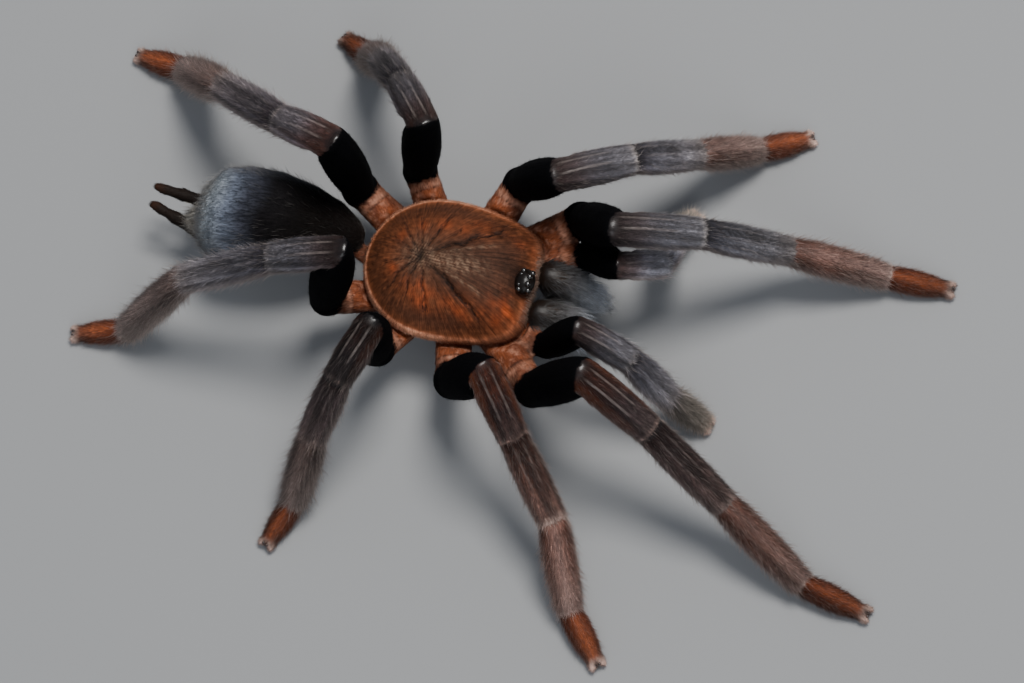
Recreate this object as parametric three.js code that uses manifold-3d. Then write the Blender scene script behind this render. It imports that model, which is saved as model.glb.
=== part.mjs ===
// A tarantula at life size, standing with its legs spread in a slow walking pose.
// Millimetres, +Z up. The animal faces +X, its left side is +Y, and its feet stand on z = 0.
// Every solid reaches out to the mean surface of its coat; single hairs are not modelled.

import * as THREE from 'three';
import { mergeVertices } from 'three/addons/utils/BufferGeometryUtils.js';
import Module from 'manifold-3d';

const wasm = await Module();
wasm.setup();

// ------------------------------------------------------------------ driving dimensions
const GAP = 0.2;                  // clearance between neighbouring solids
const LIMB_SIDES = 10;            // facets round a leg
const THIN_SIDES = 7;             // facets round a fang or a spinneret
const SLIGHT_BEND = 20;           // degrees: joints that bend more get one rounding ring
const SHARP_BEND = 50;            // degrees: joints that bend more get two
const ROUNDING_ROOM = 0.25;       // how far beyond a bend's mitre its rounding ring lies
const LONGEST_ROUNDING = 0.45;    // share of a segment that a rounding may take at most
const HALF_TURN_PLACE = 0.78;     // share of that reach where the half-turned ring lies
const LONGEST_MITRE = 1.45;       // most that the inside of a bend is stretched
const KNEE_SWELL = 0.12;          // how much the outside of a bend swells
const DEG = Math.PI / 180;

const ANKLE_HEIGHT = 1.55;        // where a tarsus begins, above the floor
const TIP_HEIGHT = 0.6;           // middle of a tarsus tip, above the floor

// The shield, eyes, jaws and fangs are made along X and then turned onto the animal's long
// axis, which runs forward and slightly to the right between the hips.
const AXIS_Y = -0.05;
const AXIS_HEADING = -3;
const ON_AXIS = new THREE.Matrix4().makeRotationZ(AXIS_HEADING * DEG).setPosition(0, AXIS_Y, 0);

const CARAPACE = {
  waistX: -1, frontReach: 10.4, frontCut: 9.35, rearReach: 7.4, halfWidth: 7.1,
  frontBluntness: 0.56, rearBluntness: 1,
  bottom: 7.1, rim: 7.9, crown: 2.9, sideFullness: 2.4, headFullness: 8,
  caputX: 5, caputRadius: 3.6, caputRise: 0.5,
  foveaX: -2.8, foveaRadius: 1.3, foveaDepth: 0.5,
  sectors: 24, rings: [0.1, 0.38, 0.68, 0.9, 1],
};
const EYE_MOUND = { x: 7.3, halfLength: 1.0, halfWidth: 1.35, rise: 0.75 };
// for each pair of eyes: how far ahead of the mound's middle, how far aside, and its radius
const EYES = [[0.35, 0.33, 0.3], [0.55, 0.86, 0.27], [-0.35, 0.95, 0.24], [-0.42, 0.58, 0.17]];
const STERNUM = { frontX: 6.6, rearX: -8.2, halfWidth: 5.6, bottom: 3.6, roundness: 2.6 };
const PEDICEL = { start: [-7, -0.2, 5.9], end: [-11, 1.6, 7.2], halfWidth: 1.05, halfHeight: 0.85 };
const ABDOMEN = {
  front: [-8.7, 2, 7.4], rear: [-25.25, 1.4, 7.15],
  halfWidth: 5.08, halfHeight: 4.35, arch: 1.5, widest: 0.67, frontFullness: 1.5, rearFullness: 3.9,
  sides: 14, rings: 9,
};
const FRONT_SPINNERETS = { ahead: 3, spread: 0.6, drop: 3.6, radii: [1, 0.42, 0.5] };
const SPINNERETS = {
  roots: [[-24.4, 3.4, 4.9], [-24.6, 0.1, 5.1]], headings: [179, 162], pitches: [20, 12],
  lengths: [2.2, 2.1, 1.8], radii: [0.74, 0.68, 0.56, 0.36],
};
const CHELICERA = {
  baseX: 8.6, baseY: 1.92, baseZ: 6.5, tipX: 14, tipY: 1.65, tipZ: 3.6,
  baseHalf: [1.78, 2.3], tipHalf: [1.35, 1.5], bulge: 0.3, arch: 0.8, uprightShare: 0.45,
};
const FANG = { length: 4.6, radius: 0.45, tipRadius: 0.26, curl: 62, rootBack: 0.3, rootDrop: 1.55 };

// Half width and half height of a leg's section at its joints and half way along its segments.
const LEG_JOINTS = [[1.6, 1.7], [1.75, 1.8], [1.62, 1.62], [1.48, 1.42], [1.28, 1.2], [0.95, 0.85]];
const LEG_MIDDLES = [[2.12, 2.3], [1.88, 1.88], [1.72, 1.7], [1.6, 1.5], [1.42, 1.2]];
const COXA = { start: [2, 1.5], middle: [2.15, 1.75] };
const LEG_NAMES = ['femur', 'patella', 'tibia', 'metatarsus', 'tarsus'];

const PALP_JOINTS = [[1.27, 1.36], [1.45, 1.5], [1.42, 1.42], [1.3, 1.25], [1.05, 0.85]];
const PALP_MIDDLES = [[1.68, 1.76], [1.62, 1.6], [1.6, 1.5], [1.4, 1.2]];
const PALP_NAMES = ['femur', 'patella', 'tibia', 'tarsus'];

// Each limb: the coxa's root in the body, the hip, and for each segment its length and its
// heading (degrees from +X toward +Y). Pitches (degrees above level) are given for all but the
// last two leg segments, or the last palp segment, which reach down to the floor.
const LEGS = {
  left_1: {
    root: [5, 3.3, 5.6], hip: [11.3, 7.7, 7.2], girth: 1,
    lengths: [11.9, 8.5, 10.7, 10.9, 6.5], headings: [-43, 17, 17, 7, 1], pitches: [58.9, -24.1, -40.9],
  },
  left_2: {
    root: [2.1, 4.4, 5.6], hip: [4.7, 10.2, 7.1], girth: 1,
    lengths: [11, 7.7, 8.9, 9.3, 5.6], headings: [-26, 33, 36, 39, 28], pitches: [61.9, -21.4, -41.7],
  },
  left_3: {
    root: [-2, 4.4, 5.6], hip: [-5.3, 9.8, 7.1], girth: 0.95, ankle: 2.3,
    lengths: [10.7, 6.1, 7.5, 8.9, 4.7], headings: [29, 127, 130, 128, 148], pitches: [82, -22.5, -43.9],
  },
  left_4: {
    root: [-5, 3.3, 5.6], hip: [-10.6, 6.85, 7.2], girth: 1,
    lengths: [13, 7.2, 10.3, 12.9, 5.7], headings: [-144, 157, 150, 143, 169], pitches: [85, -28.1, -30.7],
  },
  right_1: {
    root: [4.6, -4.1, 5.6], hip: [10.1, -10.1, 7.2], girth: 1,
    lengths: [11.9, 8.4, 10.6, 10.8, 6.8], headings: [-8, -22, -27, -30, -13], pitches: [61.4, -35.6, -35.2],
  },
  right_2: {
    root: [1.2, -4.5, 5.6], hip: [2.5, -10.7, 7.2], girth: 1,
    lengths: [11, 7.6, 8.9, 9.2, 5.8], headings: [-19, -51, -52, -68, -51], pitches: [66.2, -50.1, -28.4],
  },
  right_3: {
    root: [-2.5, -4, 5.5], hip: [-5.4, -9, 7.2], girth: 0.95,
    lengths: [10.7, 6, 7.4, 8.9, 4.9], headings: [-46, -118, -117, -110, -113], pitches: [82.1, -32.9, -49.8],
  },
  right_4: {
    root: [-5.2, -2.6, 5.6], hip: [-11.2, -4.8, 7.2], girth: 0.95,
    lengths: [13, 7.2, 10.3, 12.9, 5.5], headings: [14, -172, -168, -158, -169], pitches: [77.5, -24, -28.1],
  },
};
const PALPS = {
  left: {
    root: [6, 2, 5.1], hip: [12.5, 4.3, 6.5], girth: 1,
    lengths: [8.1, 5.8, 6.8, 5.8], headings: [-36, 34, 93, 68], pitches: [54.8, -44, -48.4],
  },
  right: {
    root: [5.6, -2.5, 5.1], hip: [10.4, -5.3, 6.5], girth: 1,
    lengths: [8.1, 5.9, 6.8, 6.2], headings: [-3, -10, -18, -10], pitches: [63.7, -36, -53.8],
  },
};

// ------------------------------------------------------------------ materials
const shade = (color, roughness) => ({ color, roughness, metalness: 0 });
const FINISH = {
  carapace: shade(0x8a4a26, 0.62),
  coxae: shade(0xa35a2c, 0.7),
  eyes: shade(0x14100e, 0.18),
  abdomen: shade(0x3a3c46, 0.85),
  spinneret: shade(0x2e1d16, 0.7),
  chelicera: shade(0x5b6068, 0.75),
  fang: shade(0x160d0a, 0.25),
  femur: shade(0x0b0b0d, 0.9),
  patella: shade(0x4b4344, 0.8),
  tibia: shade(0x4a4648, 0.8),
  metatarsus: shade(0x5e4034, 0.8),
  tarsus: shade(0xa0502b, 0.8),
};

// ------------------------------------------------------------------ lofts and solids
const vec = (values) => new THREE.Vector3(...values);
const mix = (a, b, share) => a + (b - a) * share;

// A closed body through a row of rings with equal numbers of points, each ring turning
// counter-clockwise about the way in which the rings follow one another.
function loft(rings) {
  const sides = rings[0].length;
  const points = rings.flat();
  const middle = (ring) => ring.reduce((sum, p) => sum.add(p), new THREE.Vector3()).divideScalar(sides);
  const first = points.length;
  points.push(middle(rings[0]), middle(rings.at(-1)));
  const faces = [];
  for (let k = 0; k < sides; k += 1) {
    const next = (k + 1) % sides;
    const last = (rings.length - 1) * sides;
    faces.push(first, next, k, first + 1, last + k, last + next);
    for (let row = 0; row < last; row += sides) {
      faces.push(row + k, row + next, row + sides + next);
      faces.push(row + k, row + sides + next, row + sides + k);
    }
  }
  const geometry = new THREE.BufferGeometry().setFromPoints(points);
  geometry.setIndex(faces);
  return geometry;
}

function toSolid(geometry) {
  const bare = geometry.clone();
  bare.deleteAttribute('normal');
  bare.deleteAttribute('uv');
  const merged = mergeVertices(bare, 1e-5);
  const vertProperties = new Float32Array(merged.attributes.position.array);
  const triVerts = new Uint32Array(merged.index.array);
  return new wasm.Manifold(new wasm.Mesh({ numProp: 3, vertProperties, triVerts }));
}

function toGeometry(solid) {
  const mesh = solid.getMesh();
  const geometry = new THREE.BufferGeometry();
  geometry.setAttribute('position', new THREE.BufferAttribute(mesh.vertProperties, 3));
  geometry.setIndex(new THREE.BufferAttribute(mesh.triVerts, 1));
  return geometry;
}

// An elliptical ring: across and above are unit vectors, half its sizes along them.
function ellipse(centre, across, above, half, sides) {
  return Array.from({ length: sides }, (_, k) => {
    const angle = 2 * Math.PI * k / sides;
    const point = centre.clone().addScaledVector(across, half[0] * Math.cos(angle));
    return point.addScaledVector(above, half[1] * Math.sin(angle));
  });
}

function ellipsoid(centre, radii, detail) {
  const ball = new THREE.IcosahedronGeometry(1, detail).scale(...radii);
  return ball.translate(...centre);
}

// ------------------------------------------------------------------ limbs
const direction = (heading, pitch) => new THREE.Vector3(
  Math.cos(pitch * DEG) * Math.cos(heading * DEG),
  Math.cos(pitch * DEG) * Math.sin(heading * DEG),
  Math.sin(pitch * DEG),
);
const UP = new THREE.Vector3(0, 0, 1);
const acrossOf = (way) => UP.clone().cross(way).normalize();
const squared = (side, way) => side.clone().addScaledVector(way, -side.dot(way)).normalize();

// The segments of one limb, coxa first: each with its two ends, its way along and its side.
function segmentsOf(limb, floorJoints) {
  const joints = [vec(limb.root), vec(limb.hip)];
  const ways = [joints[1].clone().sub(joints[0]).normalize()];
  limb.lengths.forEach((whole, k) => {
    const isLast = k === limb.lengths.length - 1;
    const length = isLast ? whole - TIP_REACH : whole;
    const start = joints.at(-1);
    const target = floorJoints[k - limb.pitches.length];
    const pitch = limb.pitches[k] ?? Math.asin((target - start.z) / length) / DEG;
    const way = direction(limb.headings[k], pitch);
    ways.push(way);
    joints.push(start.clone().addScaledVector(way, length));
  });
  return ways.map((way, k) => ({
    start: joints[k],
    end: joints[k + 1],
    way,
    length: joints[k].distanceTo(joints[k + 1]),
    side: squared(acrossOf(k === 1 ? ways[2] : way), way),
  }));
}

// One elliptical ring. turn is 0 for a ring square to its segment and 1 for a ring in the
// plane that halves the bend with the neighbouring segment.
function ringAt(centre, half, segment, neighbour, turn) {
  const other = neighbour ?? segment;
  const halving = segment.way.clone().add(other.way).normalize();
  const way = segment.way.clone().lerp(halving, turn).normalize();
  const side = squared(segment.side.clone().lerp(other.side, turn / 2), way);
  const above = way.clone().cross(side);
  const bend = segment.way.angleTo(other.way) * turn / 2;
  const inner = Math.min(1 / Math.cos(bend), LONGEST_MITRE);
  const outer = 1 + KNEE_SWELL * turn * Math.sin(bend);
  const outward = segment.way.clone().sub(other.way);
  const sign = segment.start.distanceTo(other.end) < 1e-6 ? -1 : 1;
  outward.multiplyScalar(sign);
  const bent = outward.length() > 1e-3;
  if (bent) outward.copy(squared(outward, way));
  return Array.from({ length: LIMB_SIDES }, (_, k) => {
    const angle = 2 * Math.PI * k / LIMB_SIDES;
    const offset = side.clone().multiplyScalar(half[0] * Math.cos(angle));
    offset.addScaledVector(above, half[1] * Math.sin(angle));
    const out = bent ? offset.dot(outward) : 0;
    offset.addScaledVector(outward, out * ((out > 0 ? outer : inner) - 1));
    return centre.clone().add(offset);
  });
}

// The closed solid of one segment between its two joints. before and after are the
// neighbouring segments; a missing one leaves a plain square end.
function segmentRings(segment, before, after, sizes) {
  const { start, way, length } = segment;
  const at = (place) => start.clone().addScaledVector(way, place);
  const girth = (place) => {
    const share = place / length;
    return [0, 1].map((n) => {
      const swell = sizes.middle[n] - (sizes.start[n] + sizes.end[n]) / 2;
      return mix(sizes.start[n], sizes.end[n], share) + swell * 4 * share * (1 - share);
    });
  };
  const bendTo = (neighbour) => (neighbour ? way.angleTo(neighbour.way) : 0);
  const reach = (neighbour, half) => {
    const wanted = half[1] * Math.tan(bendTo(neighbour) / 2) + ROUNDING_ROOM;
    return Math.min(wanted, length * LONGEST_ROUNDING);
  };
  // rounding rings beside a bent joint: their places from it, and how far they turn with it
  const rounding = (neighbour, room) => {
    const bend = bendTo(neighbour) / DEG;
    if (bend < SLIGHT_BEND) return [];
    if (bend < SHARP_BEND) return [[room, 0]];
    return [[room * HALF_TURN_PLACE, 0.5], [room, 0]];
  };
  const startReach = reach(before, sizes.start);
  const endReach = reach(after, sizes.end);
  const places = [[0, before, 1]];
  places.push(...rounding(before, startReach).map(([place, turn]) => [place, before, turn]));
  const free = [startReach, length - endReach];
  places.push(...sizes.shares.map((share) => [mix(...free, share), null, 0]));
  const ending = rounding(after, endReach).toReversed();
  places.push(...ending.map(([place, turn]) => [length - place, after, turn]));
  places.push([length, after, 1]);
  const gapAt = (neighbour) => (neighbour ? GAP / 2 / Math.cos(bendTo(neighbour) / 2) : 0);
  const lowest = gapAt(before);
  const highest = length - gapAt(after);
  return places.map(([place, neighbour, turn]) => {
    const kept = Math.min(Math.max(place, lowest), highest);
    return ringAt(at(kept), girth(place), segment, neighbour, turn);
  });
}

// The tarsus ends in a blunt rounded tip: how far its rings lie beyond the last joint, and
// their share of the joint's size.
const TIP_RINGS = [[0.3, 0.9], [0.55, 0.6]];
const TIP_REACH = TIP_RINGS.at(-1)[0];

function tipRings(segment, half) {
  return TIP_RINGS.map(([beyond, share]) => {
    const centre = segment.end.clone().addScaledVector(segment.way, beyond);
    return ringAt(centre, half.map((size) => size * share), segment, null, 0);
  });
}

// What lies below the floor is pressed flat on it, which gives each foot its small flat sole.
function standOnFloor(rings) {
  rings.flat().forEach((point) => {
    point.z = Math.max(point.z, 0);
  });
  return rings;
}

function limbGeometries(limb, floorJoints, jointSizes, middleSizes) {
  const segments = segmentsOf(limb, floorJoints);
  const scaled = (half) => half.map((size) => size * limb.girth);
  return segments.map((segment, k) => {
    const isCoxa = k === 0;
    const isFoot = k === segments.length - 1;
    const sizes = {
      start: scaled(isCoxa ? COXA.start : jointSizes[k - 1]),
      middle: scaled(isCoxa ? COXA.middle : middleSizes[k - 1]),
      end: scaled(jointSizes[k]),
      shares: isCoxa ? [] : [0.34, 0.66],
    };
    const rings = segmentRings(segment, segments[k - 1], segments[k + 1], sizes);
    if (isFoot) rings.push(...tipRings(segment, sizes.end));
    return loft(standOnFloor(rings));
  });
}

// ------------------------------------------------------------------ carapace and eyes
function carapaceEdge(angle) {
  const { waistX, frontReach, frontCut, rearReach, halfWidth } = CARAPACE;
  const { frontBluntness, rearBluntness } = CARAPACE;
  const ahead = Math.cos(angle) > 0;
  const along = Math.min(Math.cos(angle) * (ahead ? frontReach : rearReach), frontCut);
  const across = Math.abs(Math.sin(angle)) ** (ahead ? frontBluntness : rearBluntness);
  return [waistX + along, Math.sign(Math.sin(angle)) * across * halfWidth];
}

// Height of the shield's upper face at a share of the way from the fovea to the rim. It slopes
// down gently to the sides and rear, and stays high over the head to fall steeply in front.
function carapaceHeight(x, y, share) {
  const { rim, crown, sideFullness, headFullness, caputX, caputRadius, caputRise } = CARAPACE;
  const { foveaX, foveaRadius, foveaDepth } = CARAPACE;
  const headward = Math.max((x - foveaX) / Math.hypot(x - foveaX, y), 0) ** 8;
  const dome = 1 - share ** mix(sideFullness, headFullness, headward);
  const caput = Math.exp(-((x - caputX) ** 2 + y ** 2) / caputRadius ** 2);
  const fovea = Math.exp(-(((x - foveaX) ** 2 + y ** 2) / foveaRadius ** 2));
  return rim + (crown + caputRise * caput) * dome - foveaDepth * fovea;
}

const BRIM_INSET = 0.9;           // share of the outline that the shield's flat underside reaches
const BRIM_RISE = 0.25;           // from there up to its edge

function carapaceRings(grow) {
  const { sectors, rings, foveaX, bottom } = CARAPACE;
  const ring = (share, height) => Array.from({ length: sectors }, (_, k) => {
    const angle = 2 * Math.PI * k / sectors;
    const [edgeX, edgeY] = carapaceEdge(angle);
    const x = mix(foveaX, edgeX, share);
    const y = edgeY * share;
    const out = vec([edgeX - foveaX, edgeY, 0]).setLength(grow * share);
    return new THREE.Vector3(x + out.x, y + out.y, height ?? carapaceHeight(x, y, share));
  });
  const brim = [ring(BRIM_INSET, bottom), ring(1, bottom + BRIM_RISE)];
  return [...brim, ...rings.toReversed().map((share) => ring(share))];
}

const carapace = loft(carapaceRings(0));

// The low tubercle carries eight lenses: four in front, and two pairs behind.
function eyeMound() {
  const { x, halfLength, halfWidth, rise } = EYE_MOUND;
  const share = (x - CARAPACE.foveaX) / (CARAPACE.waistX + CARAPACE.frontCut - CARAPACE.foveaX);
  const floor = carapaceHeight(x, 0, share);
  const dome = ellipsoid([x, 0, floor], [halfLength, halfWidth, rise], 1);
  let solid = toSolid(dome);
  for (const side of [-1, 1]) {
    for (const [ahead, aside, radius] of EYES) {
      const slope = (ahead / halfLength) ** 2 + (aside / halfWidth) ** 2;
      const height = floor + rise * Math.sqrt(Math.max(1 - slope, 0.05));
      const lens = ellipsoid([x + ahead, side * aside, height], [radius, radius, radius], 0);
      solid = solid.add(toSolid(lens));
    }
  }
  return toGeometry(solid.subtract(toSolid(carapace.clone().translate(0, 0, GAP))));
}

// ------------------------------------------------------------------ jaws
function cheliceraRings(side, grow) {
  const c = CHELICERA;
  // places of the rings along the jaw, and how much each is narrowed
  const steps = [0, 0.2, 0.45, 0.7, 0.9, 1.04, 1.1];
  const narrowing = [0.93, 1, 1, 0.98, 0.9, 0.66, 0.3];
  const start = vec([c.baseX, side * c.baseY, c.baseZ]);
  const end = vec([c.tipX, side * c.tipY, c.tipZ]);
  const way = end.clone().sub(start).normalize();
  const across = new THREE.Vector3(0, 1, 0);
  return steps.map((share, k) => {
    const along = Math.min(share, 1);
    const swell = Math.sin(Math.PI * along);
    const centre = start.clone().lerp(end, share);
    centre.z += c.arch * swell;
    // the first ring stands upright against the shield's front edge
    const lean = Math.min(share / c.uprightShare, 1);
    const above = UP.clone().lerp(way.clone().cross(across), lean).normalize();
    const half = [0, 1].map((n) => (
      (mix(c.baseHalf[n], c.tipHalf[n], along) + c.bulge * swell) * narrowing[k] + grow
    ));
    half[0] = Math.min(half[0], c.baseHalf[0] + grow);
    return ellipse(centre, across, above, half, LIMB_SIDES);
  });
}

// Each fang hinges at the lower front of its chelicera and lies folded back under it.
function fang(side) {
  const c = CHELICERA;
  const steps = [0, 0.25, 0.5, 0.75, 1];
  const root = vec([c.tipX - FANG.rootBack, side * c.tipY, c.tipZ - FANG.rootDrop]);
  const rings = [];
  const centre = root.clone();
  const across = new THREE.Vector3(0, -1, 0);
  steps.forEach((share, k) => {
    const pitch = mix(-FANG.curl / 2, FANG.curl / 4, share);
    const way = direction(180, pitch);
    if (k > 0) centre.addScaledVector(way, FANG.length / (steps.length - 1));
    const above = way.clone().cross(across);
    const radius = mix(FANG.radius, FANG.tipRadius, share);
    rings.push(ellipse(centre, across, above, [radius, radius], THIN_SIDES));
  });
  return loft(rings);
}

// ------------------------------------------------------------------ body behind the carapace
// A row of upright or sloping rings along a straight axis, sized by a function of the share.
function barrelRings(start, end, halfSizes, lift, shares, sides) {
  const way = end.clone().sub(start).normalize();
  const across = acrossOf(way);
  const above = way.clone().cross(across);
  return shares.map((share) => {
    const centre = start.clone().lerp(end, share);
    centre.z += lift(share);
    return ellipse(centre, across, above, halfSizes(share), sides);
  });
}

function abdomenSolid(grow) {
  const { front, rear, halfWidth, halfHeight, arch, sides, rings } = ABDOMEN;
  const { widest, frontFullness, rearFullness } = ABDOMEN;
  // it widens slowly to two thirds of its length and is blunt behind
  const swell = (share) => {
    const isFront = share < widest;
    const offset = isFront ? 1 - share / widest : (share - widest) / (1 - widest);
    return Math.sqrt(Math.max(1 - offset ** (isFront ? frontFullness : rearFullness), 0.01));
  };
  const shares = Array.from({ length: rings }, (_, k) => 0.5 - 0.5 * Math.cos(Math.PI * k / (rings - 1)));
  const sizes = (share) => [halfWidth, halfHeight].map((half) => half * swell(share) + grow);
  const lift = (share) => arch * Math.sin(Math.PI * share);
  const outward = vec(front).sub(vec(rear)).setLength(grow);
  const start = vec(front).add(outward);
  const end = vec(rear).sub(outward);
  return toSolid(loft(barrelRings(start, end, sizes, lift, shares, sides)));
}

function abdomen() {
  const { ahead, spread, drop, radii } = FRONT_SPINNERETS;
  const [x, y, z] = ABDOMEN.rear;
  let body = abdomenSolid(0);
  // the front pair of spinnerets is short and joined to the belly's end
  for (const side of [-1, 1]) {
    body = body.add(toSolid(ellipsoid([x + ahead, y + side * spread, z - drop], radii, 0)));
  }
  return toGeometry(body);
}

const JOINT_INSET = 0.05;
const JOINT_NARROWING = 0.86;

function spinneret(root, heading, pitch) {
  const { lengths, radii } = SPINNERETS;
  const way = direction(heading, pitch);
  const start = vec(root);
  const places = [];
  let travelled = 0;
  // each of the three segments starts narrow and is fullest half way along
  lengths.forEach((length, k) => {
    places.push([travelled + JOINT_INSET, radii[k] * JOINT_NARROWING], [travelled + length / 2, radii[k]]);
    travelled += length;
  });
  places.push([travelled, radii[3]]);
  const across = acrossOf(way);
  const above = way.clone().cross(across);
  const finger = loft(places.map(([along, radius]) => (
    ellipse(start.clone().addScaledVector(way, along), across, above, [radius, radius], THIN_SIDES)
  )));
  return toGeometry(toSolid(finger).subtract(abdomenSolid(GAP)));
}

const ABOVE_ALL = 30;

// The sternum plate with the ten coxae that meet it and the narrow waist behind it, cleared
// for the shield, the jaws and the abdomen.
function prosomaBase(coxae) {
  const { frontX, rearX, halfWidth, bottom, roundness } = STERNUM;
  const middle = (bottom + CARAPACE.bottom) / 2;
  const start = vec([rearX, 0, middle]);
  const end = vec([frontX, 0, middle]).applyMatrix4(ON_AXIS);
  const shares = [0, 0.12, 0.4, 0.75, 1];
  const sizes = (share) => {
    const fullness = Math.sqrt(Math.max(1 - Math.abs(2 * share - 1) ** roundness, 0.06));
    return [halfWidth * fullness, (CARAPACE.bottom - bottom) / 2 * mix(0.7, 1, fullness)];
  };
  let solid = toSolid(loft(barrelRings(start, end, sizes, () => 0, shares, LIMB_SIDES)));
  coxae.forEach((coxa) => {
    solid = solid.add(toSolid(coxa));
  });
  const waistSizes = () => [PEDICEL.halfWidth, PEDICEL.halfHeight];
  const waist = barrelRings(vec(PEDICEL.start), vec(PEDICEL.end), waistSizes, () => 0, [0, 1], LIMB_SIDES);
  solid = solid.add(toSolid(loft(waist))).subtract(abdomenSolid(GAP));
  const edge = carapaceRings(GAP)[1];
  const shield = loft([CARAPACE.bottom - GAP, ABOVE_ALL].map((z) => edge.map((p) => p.clone().setZ(z))));
  const neighbours = [shield, ...[-1, 1].map((side) => loft(cheliceraRings(side, GAP)))];
  neighbours.forEach((neighbour) => {
    solid = solid.subtract(toSolid(neighbour.applyMatrix4(ON_AXIS)));
  });
  return solid;
}

// ------------------------------------------------------------------ assembly
const animal = new THREE.Group();

function addNode(name, geometry, finish, parent = animal) {
  const flat = geometry.index ? geometry : geometry.clone();
  flat.computeVertexNormals();
  const mesh = new THREE.Mesh(flat, new THREE.MeshStandardMaterial(FINISH[finish]));
  mesh.name = name;
  parent.add(mesh);
}

const coxae = [];
function placeLimb(prefix, limb, floorJoints, jointSizes, middleSizes, names) {
  const group = new THREE.Group();
  animal.add(group);
  const [coxa, ...rest] = limbGeometries(limb, floorJoints, jointSizes, middleSizes);
  coxae.push(coxa);
  rest.forEach((geometry, k) => addNode(`${prefix}_${names[k]}`, geometry, names[k], group));
}

for (const [key, leg] of Object.entries(LEGS)) {
  const floorJoints = [leg.ankle ?? ANKLE_HEIGHT, TIP_HEIGHT];
  placeLimb(`leg_${key}`, leg, floorJoints, LEG_JOINTS, LEG_MIDDLES, LEG_NAMES);
}
for (const [key, palp] of Object.entries(PALPS)) {
  placeLimb(`palp_${key}`, palp, [TIP_HEIGHT], PALP_JOINTS, PALP_MIDDLES, PALP_NAMES);
}

addNode('carapace', carapace.clone().applyMatrix4(ON_AXIS), 'carapace');
addNode('eye_mound', eyeMound().applyMatrix4(ON_AXIS), 'eyes');
addNode('prosoma_base', toGeometry(prosomaBase(coxae)), 'coxae');
addNode('abdomen', abdomen(), 'abdomen');
[['left', 1], ['right', -1]].forEach(([name, side], k) => {
  addNode(`chelicera_${name}`, loft(cheliceraRings(side, 0)).applyMatrix4(ON_AXIS), 'chelicera');
  addNode(`fang_${name}`, fang(side).applyMatrix4(ON_AXIS), 'fang');
  const { roots, headings, pitches } = SPINNERETS;
  addNode(`spinneret_${name}`, spinneret(roots[k], headings[k], pitches[k]), 'spinneret');
});

const size = new THREE.Box3().setFromObject(animal);
const middle = size.getCenter(new THREE.Vector3());
animal.position.set(-middle.x, -middle.y, 0);

const group = new THREE.Group();
group.add(animal);

export default group;
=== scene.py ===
import math

import bpy
import numpy as np
from mathutils import Matrix, Vector
from mathutils.bvhtree import BVHTree


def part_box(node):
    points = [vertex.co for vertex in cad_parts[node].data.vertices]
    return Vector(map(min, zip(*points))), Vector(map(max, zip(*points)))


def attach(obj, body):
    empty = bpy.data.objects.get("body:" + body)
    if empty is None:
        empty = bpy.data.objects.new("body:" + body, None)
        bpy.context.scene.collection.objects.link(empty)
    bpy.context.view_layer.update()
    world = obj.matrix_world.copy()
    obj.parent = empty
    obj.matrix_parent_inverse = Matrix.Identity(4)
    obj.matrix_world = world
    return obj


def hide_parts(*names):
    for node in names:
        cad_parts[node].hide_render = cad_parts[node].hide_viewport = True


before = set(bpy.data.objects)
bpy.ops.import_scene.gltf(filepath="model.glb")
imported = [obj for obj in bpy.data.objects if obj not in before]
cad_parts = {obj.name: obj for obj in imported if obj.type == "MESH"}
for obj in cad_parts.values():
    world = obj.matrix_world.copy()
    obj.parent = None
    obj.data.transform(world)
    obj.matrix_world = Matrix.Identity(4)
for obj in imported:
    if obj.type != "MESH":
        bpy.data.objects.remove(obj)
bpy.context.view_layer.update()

# ------------------------------------------------------------------ floor, light and camera
# The animal stands on a plain pale floor. One broad soft light hangs almost over it, a weak
# one fills from the front, and the camera looks down steeply from its front right.
MM = 0.001
FLOOR_SIZE = 1.2
VIEW_TARGET = Vector((2.49, -1.75, 8.0)) * MM
VIEW_AZIMUTH, VIEW_ELEVATION, VIEW_ROLL = (math.radians(a) for a in (24.3, 70.3, 12.8))
VIEW_DISTANCE = 327.2 * MM
SENSOR_WIDTH, FOCAL_LENGTH = 36, 122.5
CLIP_START, CLIP_END = 0.01, 10


def node_material(name, roughness=0.6, **constants):
    material = bpy.data.materials.new(name)
    material.use_nodes = True
    shader = material.node_tree.nodes["Principled BSDF"]
    shader.inputs["Roughness"].default_value = roughness
    for socket, value in constants.items():
        shader.inputs[socket.replace("_", " ")].default_value = value
    return material, material.node_tree, shader


def select_only(*pieces):
    """Selects these pieces alone, the first of them active."""
    bpy.ops.object.select_all(action="DESELECT")
    for piece in pieces:
        piece.select_set(True)
    bpy.context.view_layer.objects.active = pieces[0] if pieces else None


select_only()
bpy.ops.mesh.primitive_plane_add(size=FLOOR_SIZE, location=(0, 0, 0))
floor = bpy.context.object
floor.name = "floor"
floor.data.materials.append(node_material("floor paint", 0.85, Base_Color=(0.3, 0.302, 0.304, 1))[0])


def direction_to(azimuth, elevation):
    flat = math.cos(elevation)
    return Vector((math.sin(azimuth) * flat, -math.cos(azimuth) * flat, math.sin(elevation)))


def add_light(name, azimuth, elevation, distance, size, power, colour):
    way = direction_to(math.radians(azimuth), math.radians(elevation))
    data = bpy.data.lights.new(name, "AREA")
    data.shape = "DISK"
    data.size = size
    data.energy = power
    data.color = colour
    lamp = bpy.data.objects.new(name, data)
    lamp.location = VIEW_TARGET + way * distance
    lamp.rotation_euler = way.to_track_quat("Z", "Y").to_euler()
    bpy.context.scene.collection.objects.link(lamp)


add_light("softbox", azimuth=150, elevation=72, distance=0.55, size=0.2, power=3.1,
          colour=(1.0, 0.985, 0.96))
add_light("fill", azimuth=20, elevation=40, distance=0.6, size=0.4, power=0.8,
          colour=(0.92, 0.96, 1.0))

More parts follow.
